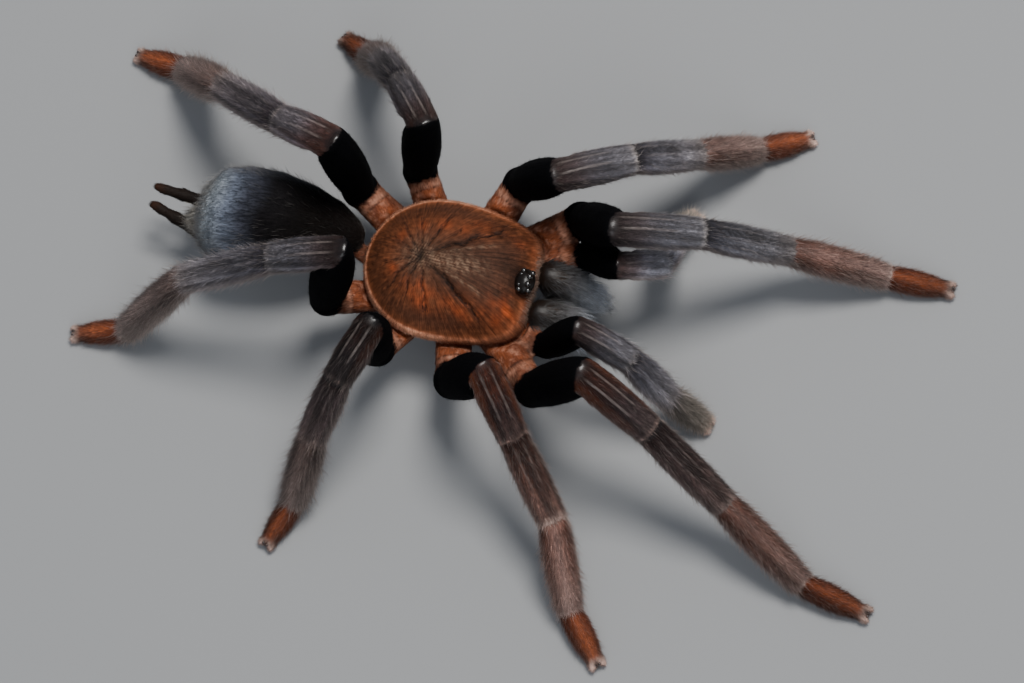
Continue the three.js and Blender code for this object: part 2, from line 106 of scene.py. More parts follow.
world = bpy.data.worlds.new("studio")
bpy.context.scene.world = world
world.use_nodes = True
backdrop = world.node_tree.nodes["Background"]
backdrop.inputs["Color"].default_value = (0.8, 0.87, 1.0, 1)
backdrop.inputs["Strength"].default_value = 0.35

toward = direction_to(VIEW_AZIMUTH, VIEW_ELEVATION)
right = Vector((math.cos(VIEW_AZIMUTH), math.sin(VIEW_AZIMUTH), 0))
above = toward.cross(right)
rolled_right = right * math.cos(VIEW_ROLL) - above * math.sin(VIEW_ROLL)
rolled_up = right * math.sin(VIEW_ROLL) + above * math.cos(VIEW_ROLL)
camera_data = bpy.data.cameras.new("camera")
camera_data.sensor_width = SENSOR_WIDTH
camera_data.lens = FOCAL_LENGTH
camera_data.clip_start, camera_data.clip_end = CLIP_START, CLIP_END
camera = bpy.data.objects.new("camera", camera_data)
camera.matrix_world = Matrix.Translation(VIEW_TARGET + toward * VIEW_DISTANCE) @ Matrix(
    (rolled_right, rolled_up, toward)).transposed().to_4x4()
bpy.context.scene.collection.objects.link(camera)
bpy.context.scene.camera = camera

# ------------------------------------------------------------------ the skin
# The flesh of the animal: ten jointed limbs, the underside with the hips, two jaws, the soft
# abdomen and two long spinnerets. It is one closed skin, inside the coat's surface by the
# coat's depth, with a soft ball of membrane in each joint.
SIDES = ("left", "right")
LEG_SEGMENTS = ("femur", "patella", "tibia", "metatarsus", "tarsus")
PALP_SEGMENTS = ("femur", "patella", "tibia", "tarsus")
COAT_DEPTH = {"femur": 0.08, "patella": 0.18, "tibia": 0.17, "metatarsus": 0.15, "tarsus": 0.2,
              "prosoma_base": 0.25, "abdomen": 0.15, "chelicera": 0.15, "spinneret": -0.05}
VOXEL = 0.275 * MM
FLAT_SOLE = 0.12 * MM           # the skin stays this far above the floor
JOINT_GAP = 0.36 * MM           # where two segments are nearer than this, they are jointed
JOINT_REACH = 1.7               # how far, in radii, the plane of a joint parts two segments
COXA_RADIUS, COXA_DROP = 2.0 * MM, 1.6 * MM
FOOT_END = 0.2 * MM             # the last of the foot's length, whose middle is the limb's tip
BALL_GAP = 0.1 * MM             # a joint's ball is slimmer than the skin beside it
WELD = 0.004 * MM               # a node's points nearer than this are one
PAD_SIZE = (0.64, 0.4, 0.5)     # of the two short tapering pads that end each foot, in mm
PAD_BACK, PAD_ASIDE, PAD_HEIGHT, PAD_TURN = 0.3, 0.54, 0.62, 0.18


def read(items, field, kind=np.float32, width=3):
    """One field of all items as an array, a row to each item."""
    values = np.empty(len(items) * width, kind)
    items.foreach_get(field, values)
    return values.reshape(-1, width)


def mesh_points(mesh):
    return read(mesh.vertices, "co").astype(float)


def set_points(mesh, points):
    mesh.vertices.foreach_set("co", points.astype(np.float32).ravel())
    mesh.update()


def node_points(node):
    return mesh_points(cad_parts[node].data)


def unit(vectors):
    vectors = np.asarray(vectors, float)
    return vectors / np.maximum(np.linalg.norm(vectors, axis=-1, keepdims=True), 1e-12)


def joint_between(near, far):
    """The middle of the points where two nodes nearly touch."""
    a, b = node_points(near), node_points(far)
    gap = np.linalg.norm(a[:, None] - b[None], axis=2)
    return (a[gap.min(1) < JOINT_GAP].mean(0) + b[gap.min(0) < JOINT_GAP].mean(0)) / 2


def barrel_ends(node, start_near):
    """The two ends of a node's long axis, the one nearer to a given place first."""
    points = node_points(node)
    axis = np.linalg.svd(points - points.mean(0), full_matrices=False)[2][0]
    along = (points - points.mean(0)) @ axis
    ends = [points.mean(0) + axis * along.min(), points.mean(0) + axis * along.max()]
    return sorted(ends, key=lambda end: np.linalg.norm(end - start_near))


body_low, body_high = (np.array(corner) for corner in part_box("carapace"))
body_middle = (body_low + body_high) / 2


def make_limb(prefix, segments):
    """The limb's joints from the hip to the tip, and each segment's way, side, top and radius."""
    nodes = [f"{prefix}_{segment}" for segment in segments]
    joints = [joint_between(a, b) for a, b in zip(["prosoma_base"] + nodes, nodes)]
    foot = node_points(nodes[-1])
    reach = (foot - joints[-1]) @ unit(foot.mean(0) - joints[-1])
    joints.append(foot[reach > reach.max() - FOOT_END].mean(0))
    # the coxa's root lies about half way from the hip to the middle of the body, and lower
    root = joints[0] * [0.45, 0.42, 1] + body_middle * [0.55, 0.58, 0] - [0, 0, COXA_DROP]
    joints = np.array([root] + joints)
    ways = unit(np.diff(joints, axis=0))
    sides = unit(np.cross([0, 0, 1], ways))
    sides[1] = unit(sides[2] - ways[1] * (sides[2] @ ways[1]))
    tops = np.cross(ways, sides)
    spans = np.linalg.norm(np.diff(joints, axis=0), axis=1)
    radii = [COXA_RADIUS]
    for k, node in enumerate(nodes, 1):
        offset = node_points(node) - joints[k]
        offset -= np.outer(offset @ ways[k], ways[k])
        radii.append(np.percentile(np.linalg.norm(offset, axis=1), 60))
    # on the outside of a bend a segment starts this share of its length before the joint
    half_bends = np.arccos(np.clip((ways[1:] * ways[:-1]).sum(1), -1, 1)) / 2
    leads = np.clip(np.array(radii[1:]) * np.tan(half_bends) / spans[1:], 0, 0.3) * 0.9
    return {"joints": joints, "ways": ways, "sides": sides, "tops": tops, "spans": spans,
            "radii": np.array(radii), "leads": np.concatenate([[0, 0], leads[1:]]), "nodes": nodes,
            "segments": ("coxa",) + segments}


limbs = {}
for limb_side in SIDES:
    for limb_number in range(1, 5):
        limb_name = f"leg_{limb_side}_{limb_number}"
        limbs[limb_name] = make_limb(limb_name, LEG_SEGMENTS)
    limbs[f"palp_{limb_side}"] = make_limb(f"palp_{limb_side}", PALP_SEGMENTS)


def place_on(points, limb, k):
    """For each point on segment k: the run along the limb (whole number: the segment, rest: the
    share of it), and its offset to the side and to the top in radii."""
    way, lead = limb["ways"][k], limb["leads"][k]
    offset = points - limb["joints"][k]
    share = np.clip((offset @ way / limb["spans"][k] + lead) / (1 + lead), 0, 0.999)
    offset -= np.outer(offset @ way, way)
    offset /= limb["radii"][k]
    return np.stack([k + share, offset @ limb["sides"][k], offset @ limb["tops"][k]], 1)


abdomen_front, abdomen_rear = barrel_ends("abdomen", body_middle)
single_barrels = {name: barrel_ends(name, body_middle) for name in (
    "chelicera_left", "chelicera_right", "spinneret_left", "spinneret_right")}


def place_along(points, ends, half_width, half_height):
    """The same three values on a barrel: its share from front to rear, side and top."""
    way = unit(ends[1] - ends[0])
    side = unit(np.cross([0, 0, 1], way))
    offset = points - ends[0]
    share = offset @ way / np.linalg.norm(ends[1] - ends[0])
    offset = offset - np.outer(offset @ way, way)
    across, upward = offset @ side / half_width, offset @ np.cross(way, side) / half_height
    return np.stack([np.clip(share, 0, 1), across, upward], 1)


def edit(piece, *steps):
    """Runs operators, each with its settings, on the whole of one piece in edit mode."""
    select_only(piece)
    bpy.ops.object.mode_set(mode="EDIT")
    bpy.ops.mesh.select_all(action="SELECT")
    for operator, settings in steps:
        operator(**settings)
    bpy.ops.object.mode_set(mode="OBJECT")


def fresh_copy(node, name):
    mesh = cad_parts[node].data.copy()
    mesh.materials.clear()
    piece = bpy.data.objects.new(name, mesh)
    bpy.context.scene.collection.objects.link(piece)
    edit(piece, (bpy.ops.mesh.remove_doubles, {"threshold": WELD}),
         (bpy.ops.mesh.tris_convert_to_quads, {"face_threshold": 0.7, "shape_threshold": 0.7}))
    return piece


def add_modifier(piece, kind, **settings):
    modifier = piece.modifiers.new(kind.lower(), kind)
    for setting, value in settings.items():
        setattr(modifier, setting, value)
    return modifier


def finish_modifiers(piece):
    select_only(piece)
    for modifier in list(piece.modifiers):
        bpy.ops.object.modifier_apply(modifier=modifier.name)


def join(pieces, name):
    select_only(*pieces)
    bpy.ops.object.join()
    whole = bpy.context.object
    whole.name = whole.data.name = name
    return whole


OWNERS = [(name, k) for name, limb in limbs.items() for k in range(1, len(limb["segments"]))]
OWNERS += [("body", 0), ("abdomen", 0)] + [(name, 0) for name in single_barrels]
flesh = []


def claim(piece, owner):
    """Marks all faces of a piece of flesh with the part that they belong to."""
    layer = piece.data.attributes.new("owner", "INT", "FACE")
    layer.data.foreach_set("value", np.full(len(piece.data.polygons), OWNERS.index(owner), np.int32))
    flesh.append(piece)


def add_ball(owner, spot, radius):
    bpy.ops.mesh.primitive_ico_sphere_add(subdivisions=3, radius=radius, location=spot)
    claim(bpy.context.object, owner)


for owner in OWNERS:
    name, k = owner
    node = limbs[name]["nodes"][k - 1] if name in limbs else "prosoma_base" if name == "body" else name
    kind = limbs[name]["segments"][k] if name in limbs else node.replace("_left", "").replace("_right", "")
    segment = fresh_copy(node, "flesh " + node)
    edit(segment, (bpy.ops.transform.shrink_fatten, {"value": -COAT_DEPTH[kind] * MM}))
    claim(segment, owner)

# a soft ball fills each joint, a little slimmer than the skin on both sides of it
for name, limb in limbs.items():
    for k, joint in enumerate(limb["joints"][1:-1], 1):
        depth = COAT_DEPTH[limb["segments"][k]] * MM
        radius = (limb["radii"][max(k - 1, 1)] + limb["radii"][k]) / 2 - depth - BALL_GAP
        add_ball((name, k), joint, radius)

for name, limb in limbs.items():
    side, flat_way = limb["sides"][-1], unit(limb["ways"][-1] * [1, 1, 0])
    for hand in (-1, 1):
        spot = limb["joints"][-1] - flat_way * PAD_BACK * MM + side * hand * PAD_ASIDE * MM
        spot[2] = PAD_HEIGHT * MM
        bpy.ops.mesh.primitive_uv_sphere_add(
            segments=12, ring_count=8, radius=MM, scale=PAD_SIZE, location=spot,
            rotation=(0, 0, math.atan2(flat_way[1], flat_way[0]) + hand * PAD_TURN))
        claim(bpy.context.object, (name, len(limb["ways"]) - 1))

# the waist, the spinnerets' roots and the membranes behind the jaws: radius and drop in mm
waist_end = abdomen_front + unit(abdomen_rear - abdomen_front) * 1.1 * MM
membranes = [("abdomen", waist_end, 1.1, 0.8), ("abdomen", abdomen_rear, 1.5, 0.3)]
for name, ends in single_barrels.items():
    membranes.append((name, ends[0], *((1.2, 0.9) if name.startswith("chelicera") else (0.65, 0))))
for name, spot, radius, drop in membranes:
    add_ball((name, 0), spot - [0, 0, drop * MM], radius * MM)

skin = join(flesh, "skin")
bpy.ops.object.transform_apply(location=True, rotation=True, scale=True)
flesh_tree = BVHTree.FromPolygons([v.co for v in skin.data.vertices],
                                  [p.vertices for p in skin.data.polygons])
flesh_owner = read(skin.data.attributes["owner"].data, "value", np.int32, 1).ravel()
add_modifier(skin, "REMESH", mode="VOXEL", voxel_size=VOXEL)
add_modifier(skin, "SMOOTH", factor=0.5, iterations=7)
finish_modifiers(skin)
skin.data.name = "skin"

skin_points = mesh_points(skin.data)
skin_points[:, 2] = np.maximum(skin_points[:, 2], FLAT_SOLE)
set_points(skin.data, skin_points)
skin_owner = flesh_owner[[flesh_tree.find_nearest(point)[2] for point in skin_points]]

# neighbouring segments meet in the plane that halves the bend of their joint
for name, limb in limbs.items():
    for k, joint in enumerate(limb["joints"][2:-1], 1):
        pair = OWNERS.index((name, k)), OWNERS.index((name, k + 1))
        offset = skin_points - joint
        close = np.linalg.norm(offset, axis=1) < JOINT_REACH * limb["radii"][k]
        mine = np.isin(skin_owner, pair) & close
        beyond = offset @ (limb["ways"][k] + limb["ways"][k + 1]) > 0
        skin_owner[mine] = np.where(beyond[mine], pair[1], pair[0])
print("skin", len(skin.data.vertices), "points", len(skin.data.polygons), "faces")

# ------------------------------------------------------------------ markings of the pelt
# Skin and hair share one set of markings: black velvet femora, brown to blue-grey upper
# segments with pale joint rings, rusty lower ones, orange feet with pale pads.
def paint(*levels):
    """A colour from its red, green and blue levels of 0 to 255."""
    levels = np.array(levels) / 255
    return np.where(levels < 0.04045, levels / 12.92, ((levels + 0.055) / 1.055) ** 2.4)


def ramp(values, stops):
    """The colour at each value, between stops of a value and its colour in levels."""
    places = [place for place, _ in stops]
    colours = np.array([paint(*levels) for _, levels in stops])
    return np.stack([np.interp(values, places, colours[:, c]) for c in range(3)], 1)


def blend(a, b, share):
    return a + (b - a) * np.reshape(share, (-1, 1))


def ripple(points, scale, seed):
    """Soft random patches between about -1 and 1, scale metres across."""
    dice = np.random.default_rng(seed)
    waves = dice.normal(size=(9, points.shape[1])) / scale
    phases = dice.uniform(0, 2 * np.pi, 9)
    return np.cos(points @ waves.T + phases).sum(1) / 3


def window(values, low, high, soft):
    """1 between low and high and 0 outside them, with soft edges."""
    return np.clip((values - low) / soft + 0.5, 0, 1) * np.clip((high - values) / soft + 0.5, 0, 1)


def climb(values, start, span):
    """0 up to the start, and from there rising to 1 over the span."""
    return np.clip((values - start) / span, 0, 1)


def glaze(colour, *coats):
    """Lays coats over a colour. Each is a tint in levels (a tuple) or a factor, and its share."""
    for tint, share in coats:
        over = paint(*tint) if isinstance(tint, tuple) else colour * tint
        colour = blend(colour, over, share)
    return colour


BLACK = (7, 7, 9)
COOL_LEG = [(1.0, BLACK), (1.999, BLACK), (2.0, (20, 13, 11)), (2.08, (40, 29, 27)),
            (2.3, (70, 61, 62)), (2.6, (108, 106, 112)), (2.95, (112, 110, 114)),
            (2.985, (176, 168, 164)), (3.0, (22, 19, 21)), (3.06, (58, 56, 62)), (3.25, (100, 99, 106)),
            (3.7, (124, 121, 125)), (3.97, (132, 124, 122)), (3.99, (186, 174, 168)), (4.0, (96, 70, 60))]
WARM_LEG = [(1.0, BLACK), (1.999, BLACK), (2.0, (26, 14, 10)), (2.08, (58, 29, 20)),
            (2.35, (70, 38, 28)), (2.6, (68, 47, 44)), (2.95, (84, 66, 61)), (2.985, (172, 140, 126)),
            (3.0, (20, 14, 13)), (3.06, (48, 30, 25)), (3.5, (82, 56, 48)), (3.9, (94, 70, 62)),
            (3.985, (184, 158, 146)), (4.0, (90, 54, 42))]
RUSTY_LEG = [(4.0, (128, 78, 62)), (4.08, (112, 66, 51)), (4.5, (136, 92, 77)), (4.93, (150, 116, 104)),
             (4.985, (188, 162, 150)), (5.0, (84, 42, 27)), (5.15, (104, 54, 34)),
             (5.6, (114, 62, 40)), (5.82, (104, 64, 48)), (5.9, (168, 140, 128)), (6.0, (206, 170, 154))]
GREY_LEG = [(4.0, (118, 103, 96)), (4.08, (98, 83, 76)), (4.5, (128, 114, 107)), (4.93, (146, 131, 123)),
            (4.985, (184, 166, 157)), (5.0, (84, 46, 31)), (5.15, (106, 58, 40)),
            (5.6, (116, 68, 48)), (5.82, (104, 68, 54)), (5.9, (164, 140, 128)), (6.0, (204, 170, 156))]
PALP_TIP = [(5.0, (84, 78, 72)), (5.6, (112, 104, 95)), (5.84, (136, 122, 110)), (5.93, (196, 164, 148)),
            (6, (212, 180, 164))]
# for each limb: how brown its patella and tibia are, how rusty its metatarsus, how light its
# patella is and how light the rest
LIMB_TONES = {"leg_left_1": (0.0, 0.85, 1.0, 1.0), "leg_left_2": (0.12, 0.5, 1.05, 1.4),
              "leg_left_3": (0.3, 0.3, 0.78, 0.9), "leg_left_4": (0.4, 0.35, 1.6, 1.5),
              "leg_right_1": (0.85, 1.0, 0.72, 0.74), "leg_right_2": (1.0, 0.85, 1.05, 1.35),
              "leg_right_3": (0.75, 0.15, 0.28, 1.0), "leg_right_4": (0.15, 0.1, 1.0, 1.4),
              "palp_left": (0.0, 0.1, 3.0, 3.0), "palp_right": (0.1, 0.05, 1.35, 2.0)}
STRIPE_SIDE, STRIPE_WIDTH = 0.3, 0.07      # the bare strips' middle and half width, in radii


def leg_run(place, name):
    """A palp has no metatarsus, so its tarsus takes a leg's tarsus's place in the ramps."""
    run = place[:, 0]
    return np.where(run >= 4, run + 1, run) if name.startswith("palp") else run


def strip_offset(place, name):
    """Two narrow strips along the top of patella and tibia carry no hair: how many half widths
    each point lies aside of the nearest strip's middle, and how plain the strip is there."""
    run = leg_run(place, name)
    reach = 0.9 * window(run, 2.14, 2.7, 0.1) + 0.6 * window(run, 3.12, 3.6, 0.12)
    return (np.abs(place[:, 1]) - STRIPE_SIDE) / STRIPE_WIDTH, reach * (place[:, 2] > 0)


def limb_marking(points, place, name):
    brown, rust, *lights = LIMB_TONES[name]
    is_palp = name.startswith("palp")
    run = leg_run(place, name)
    aside, upward = np.abs(place[:, 1]), place[:, 2]
    on_top = upward > 0
    upper = blend(ramp(run, COOL_LEG), ramp(run, WARM_LEG), brown)
    lower = blend(ramp(run, GREY_LEG), ramp(run, RUSTY_LEG), rust)
    colour = np.where((run < 4)[:, None], upper, lower)
    if is_palp:
        colour = np.where((run >= 5)[:, None], ramp(run, PALP_TIP), colour)
    # a bright stripe runs along the top of each foot, and its sides are darker
    foot = window(run, 5.03, 5.86, 0.06) * (0 if is_palp else 1)
    stripe = np.clip(1 - aside / 0.62, 0, 1) * on_top
    colour = glaze(colour, ([0.5, 0.42, 0.36], foot * (1 - stripe) * 0.8),
                   ((156, 82, 48), foot * stripe ** 1.5 * 0.65))
    # the metatarsus is greyer along its top and brown on its sides, and a cleft parts the pads
    shin = window(run, 4.02, 4.96, 0.06)
    crown = np.clip(1 - aside / 0.7, 0, 1) * on_top
    cleft = np.exp(-(place[:, 1] / 0.24) ** 2) * window(run, 5.9, 6.2, 0.03)
    colour = glaze(colour, (0.55, shin * window(aside, 0.45, 1.0, 0.3) * 0.8),
                   ((158, 134, 126), shin * crown * 0.4), ((24, 17, 15), cleft * 0.9))
    # combed streaks run along patella and tibia, and dark bands flank the bare strips
    turn = np.arctan2(place[:, 1], upward)
    streak = (ripple(np.stack([turn * 8.5, run * 2.2], 1), 1.0, 6)
              + 0.5 * ripple(np.stack([turn * 19, run * 3], 1), 1.0, 7))
    colour = colour * np.exp((0.16 + 0.3 * window(run, 2.02, 3.96, 0.06)) * streak)[:, None]
    band = np.exp(-((aside - STRIPE_SIDE) / 0.26) ** 2) * on_top
    rusty = window(run, 2.06, 2.85, 0.2) * window(aside, 0.62, 1.3, 0.2) * (upward > -0.4)
    rusty = rusty * np.clip(brown - 0.2, 0, 1)
    # hair low on the sides is paler than on top
    flank = window(run, 2.3, 4.95, 0.3) * np.clip((0.35 - upward) / 0.5, 0, 1)
    colour = glaze(colour, (0.45, band * window(run, 2.0, 2.7, 0.12)),
                   (0.55, band * window(run, 3.0, 3.6, 0.12)),
                   ((128, 70, 42), rusty * 0.6), ((158, 140, 132), flank * 0.4))
    light = np.interp(run, [2.9, 3.1], lights)
    colour = colour * (light * (1 + 0.14 * ripple(points, 1.1 * MM, 5)))[:, None]
    return np.where((run < 2)[:, None], paint(*BLACK), np.maximum(colour, 0.0012))


def limb_gloss(place, name):
    """Bare cuticle near the knee and in the two strips is glossy; the velvet femur is not."""
    return np.interp(leg_run(place, name), [1.999, 2.0, 2.06, 2.12, 2.97, 3.0, 3.03, 3.06, 4, 6],
                     [0, 1, 0.9, 0.25, 0.15, 0.6, 0.6, 0.2, 0.15, 0.1])


ABDOMEN_RAMP = [(0.0, (20, 15, 13)), (0.3, (15, 12, 11)), (0.5, (24, 22, 24)), (0.62, (58, 60, 69)),
                (0.74, (108, 115, 129)), (0.87, (150, 157, 163)), (1.0, (156, 152, 144))]


def abdomen_marking(points, place):
    colour = ramp(place[:, 0] + 0.04 * ripple(points, 2.4 * MM, 8), ABDOMEN_RAMP)
    colour = glaze(colour, ((122, 122, 128), climb(np.abs(place[:, 1]), 0.6, 0.4) * 0.55),
                   ((62, 52, 46), np.clip(-place[:, 2] * 1.6, 0, 1) * 0.7))
    return colour * (1 + 0.12 * ripple(points, 0.9 * MM, 9))[:, None]


PEACH = (204, 150, 124)


def body_marking(points, place):
    """Hips and shield's underside: orange above with a pale rim at each joint, dark brown below."""
    run = place[:, 0]
    broken = 0.35 + 0.65 * np.clip(0.5 + ripple(points, 0.3 * MM, 14), 0, 1)
    # each hip is darker on its sides: painted shade in the valleys between the hips
    return glaze(
        np.tile(paint(132, 70, 42), (len(points), 1)),
        ((98, 52, 35), np.clip(ripple(points, 0.5 * MM, 12), 0, 1) * 0.8),
        (PEACH, np.clip(ripple(points, 0.2 * MM, 13) - 0.1, 0, 1) * 0.45),
        ((70, 45, 35), climb(np.abs(place[:, 1]), 0.45, 0.4) * broken * 0.75),
        ((88, 66, 56), window(run, 0.76, 1.2, 0.1) * broken * 0.6),
        ((50, 27, 20), window(run, 0.675, 0.7, 0.02)),
        (PEACH, 0.6 * broken * window(run, 0.7, 0.76, 0.04)),
        (PEACH, 0.5 * broken * window(run, 0.93, 0.99, 0.04)),
        ((40, 28, 24), np.clip((0.1 - place[:, 2]) * 1.4, 0, 1) * 0.85))


JAW_RAMP = [(0.0, (20, 14, 11)), (0.14, (34, 25, 20)), (0.27, (50, 40, 33)), (0.42, (106, 104, 105)),
            (0.62, (214, 220, 230)), (1.0, (230, 229, 230))]
SPINNERET_RAMP = [(0.0, (48, 35, 27)), (0.3, (25, 17, 13)), (0.8, (32, 21, 15)), (1.0, (58, 33, 20))]


def jaw_marking(points, place):
    return glaze(ramp(place[:, 0], JAW_RAMP), ((92, 56, 42), np.clip(-place[:, 2], 0, 1)))


def spinneret_marking(points, place):
    return ramp(place[:, 0], SPINNERET_RAMP)


MARKINGS = {"body": body_marking, "abdomen": abdomen_marking, "jaws": jaw_marking,
            "spinnerets": spinneret_marking}


def region_of(owner):
    for start, region in (("chelicera", "jaws"), ("spinneret", "spinnerets")):
        if owner[0].startswith(start):
            return region
    return owner[0]


def by_region(owners):
    """Each region that owns points, its owner, and which points it owns."""
    for index in np.unique(owners):
        yield region_of(OWNERS[index]), OWNERS[index], owners == index


def place_in(points, owners):
    """Where each point lies in the part that owns it: along, to the side and to the top."""
    place = np.zeros((len(points), 3))
    for region, (name, k), mine in by_region(owners):
        spots = points[mine]
        if region in limbs:
            place[mine] = place_on(spots, limbs[name], k)
        elif region == "abdomen":
            place[mine] = place_along(spots, (abdomen_front, abdomen_rear), 5.0 * MM, 4.4 * MM)
        elif region == "body":
            coxae = [place_on(spots, limb, 0) for limb in limbs.values()]
            away = np.array([np.hypot(coxa[:, 1], coxa[:, 2]) - coxa[:, 0] * 0.2 for coxa in coxae])
            place[mine] = np.array(coxae)[away.argmin(0), np.arange(mine.sum())]
        else:
            size = 1.7 * MM if region == "jaws" else 0.8 * MM
            place[mine] = place_along(spots, single_barrels[name], size, size * 1.2)
    return place


def marking_in(points, place, owners):
    """The colour of the pelt at each point."""
    colour = np.zeros((len(points), 3))
    for region, _, mine in by_region(owners):
        if region in limbs:
            colour[mine] = limb_marking(points[mine], place[mine], region)
        else:
            colour[mine] = MARKINGS[region](points[mine], place[mine])
    return np.clip(colour, 0.001, 1)


REGION_GLOSS = {"body": 0.25, "abdomen": 0.05, "spinnerets": 0.4}


def gloss_in(place, owners):
    gloss = np.zeros(len(place))
    for region, _, mine in by_region(owners):
        if region in limbs:
            gloss[mine] = limb_gloss(place[mine], region)
        elif region == "jaws":
            gloss[mine] = np.interp(place[mine, 0], [0.13, 0.26], [0.85, 0.2])
        else:
            gloss[mine] = REGION_GLOSS[region]
    return gloss


def write_attribute(mesh, name, kind, values):
    layer = mesh.attributes.new(name, kind, "POINT")
    field = "color" if kind == "FLOAT_COLOR" else "vector"
    layer.data.foreach_set(field, np.asarray(values, np.float32).ravel())


def with_alpha(colour, alpha=1.0):
    return np.concatenate([colour, np.broadcast_to(np.reshape(alpha, (-1, 1)), (len(colour), 1))], 1)


skin_place = place_in(skin_points, skin_owner)
skin_colour = marking_in(skin_points, skin_place, skin_owner)
skin_gloss = gloss_in(skin_place, skin_owner)
write_attribute(skin.data, "marking", "FLOAT_COLOR", with_alpha(skin_colour, skin_gloss))
write_attribute(skin.data, "place", "FLOAT_VECTOR", skin_place)
skin_strip = np.zeros((len(skin_points), 3))
for region, _, mine in by_region(skin_owner):
    if region in limbs:
        skin_strip[mine, :2] = np.stack(strip_offset(skin_place[mine], region), 1)
write_attribute(skin.data, "strip", "FLOAT_VECTOR", skin_strip)


def add_node(tree, kind, links=(), **settings):
    """Adds a node; links are (socket, value or source socket), settings its own properties."""
    node = tree.nodes.new(kind)
    for setting, value in settings.items():
        setattr(node, setting, value)
    for socket, value in links:
        if isinstance(value, bpy.types.NodeSocket):
            tree.links.new(value, node.inputs[socket])
        else:
            node.inputs[socket].default_value = value
    return node


def node_group(name, inputs, outputs):
    """A group with named sockets, each with its kind: its tree, inputs and outputs."""
    tree = bpy.data.node_groups.new(name, "ShaderNodeTree")
    for in_out, sockets in (("INPUT", inputs), ("OUTPUT", outputs)):
        for socket, kind in sockets:
            tree.interface.new_socket(name=socket, in_out=in_out, socket_type="NodeSocket" + kind)
    return tree, add_node(tree, "NodeGroupInput").outputs, add_node(tree, "NodeGroupOutput").inputs


def add_map(tree, value, low, high, to_low=0.0, to_high=1.0, **settings):
    """The value with its range from low to high mapped to another one."""
    names = ("Value", "From Min", "From Max", "To Min", "To Max")
    links = zip(names, (value, low, high, to_low, to_high))
    return add_node(tree, "ShaderNodeMapRange", links, **settings).outputs["Result"]


def add_noise(tree, place, scale, detail):
    links = [("Vector", place), ("Scale", scale), ("Detail", detail)]
    return add_node(tree, "ShaderNodeTexNoise", links).outputs["Fac"]


def add_mix(tree, share, a, b):
    """A mix of two colours."""
    return add_node(tree, "ShaderNodeMix", [(0, share), (6, a), (7, b)], data_type="RGBA").outputs[2]


def add_math(tree, operation, *values, kind="ShaderNodeMath", **settings):
    return add_node(tree, kind, enumerate(values), operation=operation, **settings).outputs[0]


def add_vector_math(tree, operation, *values):
    return add_math(tree, operation, *values, kind="ShaderNodeVectorMath")


def attribute(tree, name, output):
    return add_node(tree, "ShaderNodeAttribute", attribute_name=name).outputs[output]


# Short down that no tuft shows is a streaky bump that follows the limbs.
down, down_in, down_out = node_group(
    "short down", [("Colour", "Color"), ("Lie", "Vector"), ("Depth", "Float")],
    [("Colour", "Color"), ("Normal", "Vector")])
streaks = add_noise(down, down_in["Lie"], 1.0, 4.0)
shaded = add_vector_math(down, "MULTIPLY", down_in["Colour"], add_map(down, streaks, 0.3, 0.7, 0.55, 1.35))
ruffle = add_node(down, "ShaderNodeBump", [("Strength", 0.6), ("Height", streaks),
                                           ("Distance", down_in["Depth"])])
down.links.new(shaded, down_out["Colour"])
down.links.new(ruffle.outputs["Normal"], down_out["Normal"])


BARE_STRIP = (0.3, 0.24, 0.21, 1)


def pelt_material(name, stretch, depth):
    """Skin under the coat: the marking's colour with streaky down, stretched along the lie. The
    marking's alpha says how glossy and smooth the cuticle is, and bare strips show pale."""
    material, tree, shader = node_material(name, 0.7)
    strip = add_node(tree, "ShaderNodeSeparateXYZ", [("Vector", attribute(tree, "strip", "Vector"))])
    aside = add_math(tree, "ABSOLUTE", strip.outputs["X"])
    line = add_map(tree, aside, 1.3, 0.5, interpolation_type="SMOOTHSTEP")
    bare = add_math(tree, "MULTIPLY", line, strip.outputs["Y"], use_clamp=True)
    gloss = add_math(tree, "MAXIMUM", attribute(tree, "marking", "Alpha"), bare, use_clamp=True)
    lie = add_vector_math(tree, "MULTIPLY", attribute(tree, "place", "Vector"), stretch)
    group = add_node(tree, "ShaderNodeGroup", node_tree=down)
    for target, dull, glossy in ((shader.inputs["Roughness"], 0.9, 0.26),
                                 (group.inputs["Depth"], depth, 0.1 * depth),
                                 (shader.inputs["Specular IOR Level"], 0.04, 0.4)):
        tree.links.new(add_map(tree, gloss, 0.0, 1.0, dull, glossy), target)
    share = add_math(tree, "MULTIPLY", bare, 0.28)
    colour = add_mix(tree, share, attribute(tree, "marking", "Color"), BARE_STRIP)
    tree.links.new(colour, group.inputs["Colour"])
    tree.links.new(lie, group.inputs["Lie"])
    tree.links.new(group.outputs["Colour"], shader.inputs["Base Color"])
    tree.links.new(group.outputs["Normal"], shader.inputs["Normal"])
    return material


skin.data.materials.append(pelt_material("pelt", (9, 22, 22), 0.1 * MM))
skin.data.shade_smooth()

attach(skin, "root")
hard_nodes = ("carapace", "eye_mound", "fang_left", "fang_right")
skin_nodes = [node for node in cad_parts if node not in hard_nodes]
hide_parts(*skin_nodes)

# ------------------------------------------------------------------ the coat of the limbs
# Each hair tuft is a thin three-sided blade that rises from the skin and bends back along the
# limb. Down lies flat, bristles stand out, and the pads carry a short dense brush.
ROOT_DEPTH = 0.06 * MM                  # how deep a tuft is rooted
TUFT_TURN, TUFT_SWAY = 0.16, 0.12       # how much tufts differ in heading and in sideways bend
TUFT_TAPER, TUFT_FLAT = 0.35, 0.8       # how much slimmer one is near its tip, and how flat it is
TUFT_LEAN = 0.15                        # how far its shading leans along the lie
CLEARANCE = 0.02 * MM                   # no tuft comes nearer to the floor
BLADE = [(math.cos(math.radians(angle)), math.sin(math.radians(angle))) for angle in (90, 210, 330)]


def triangles_of(mesh):
    """Its triangles as rows of point numbers."""
    mesh.calc_loop_triangles()
    return read(mesh.loop_triangles, "vertices", np.int32)


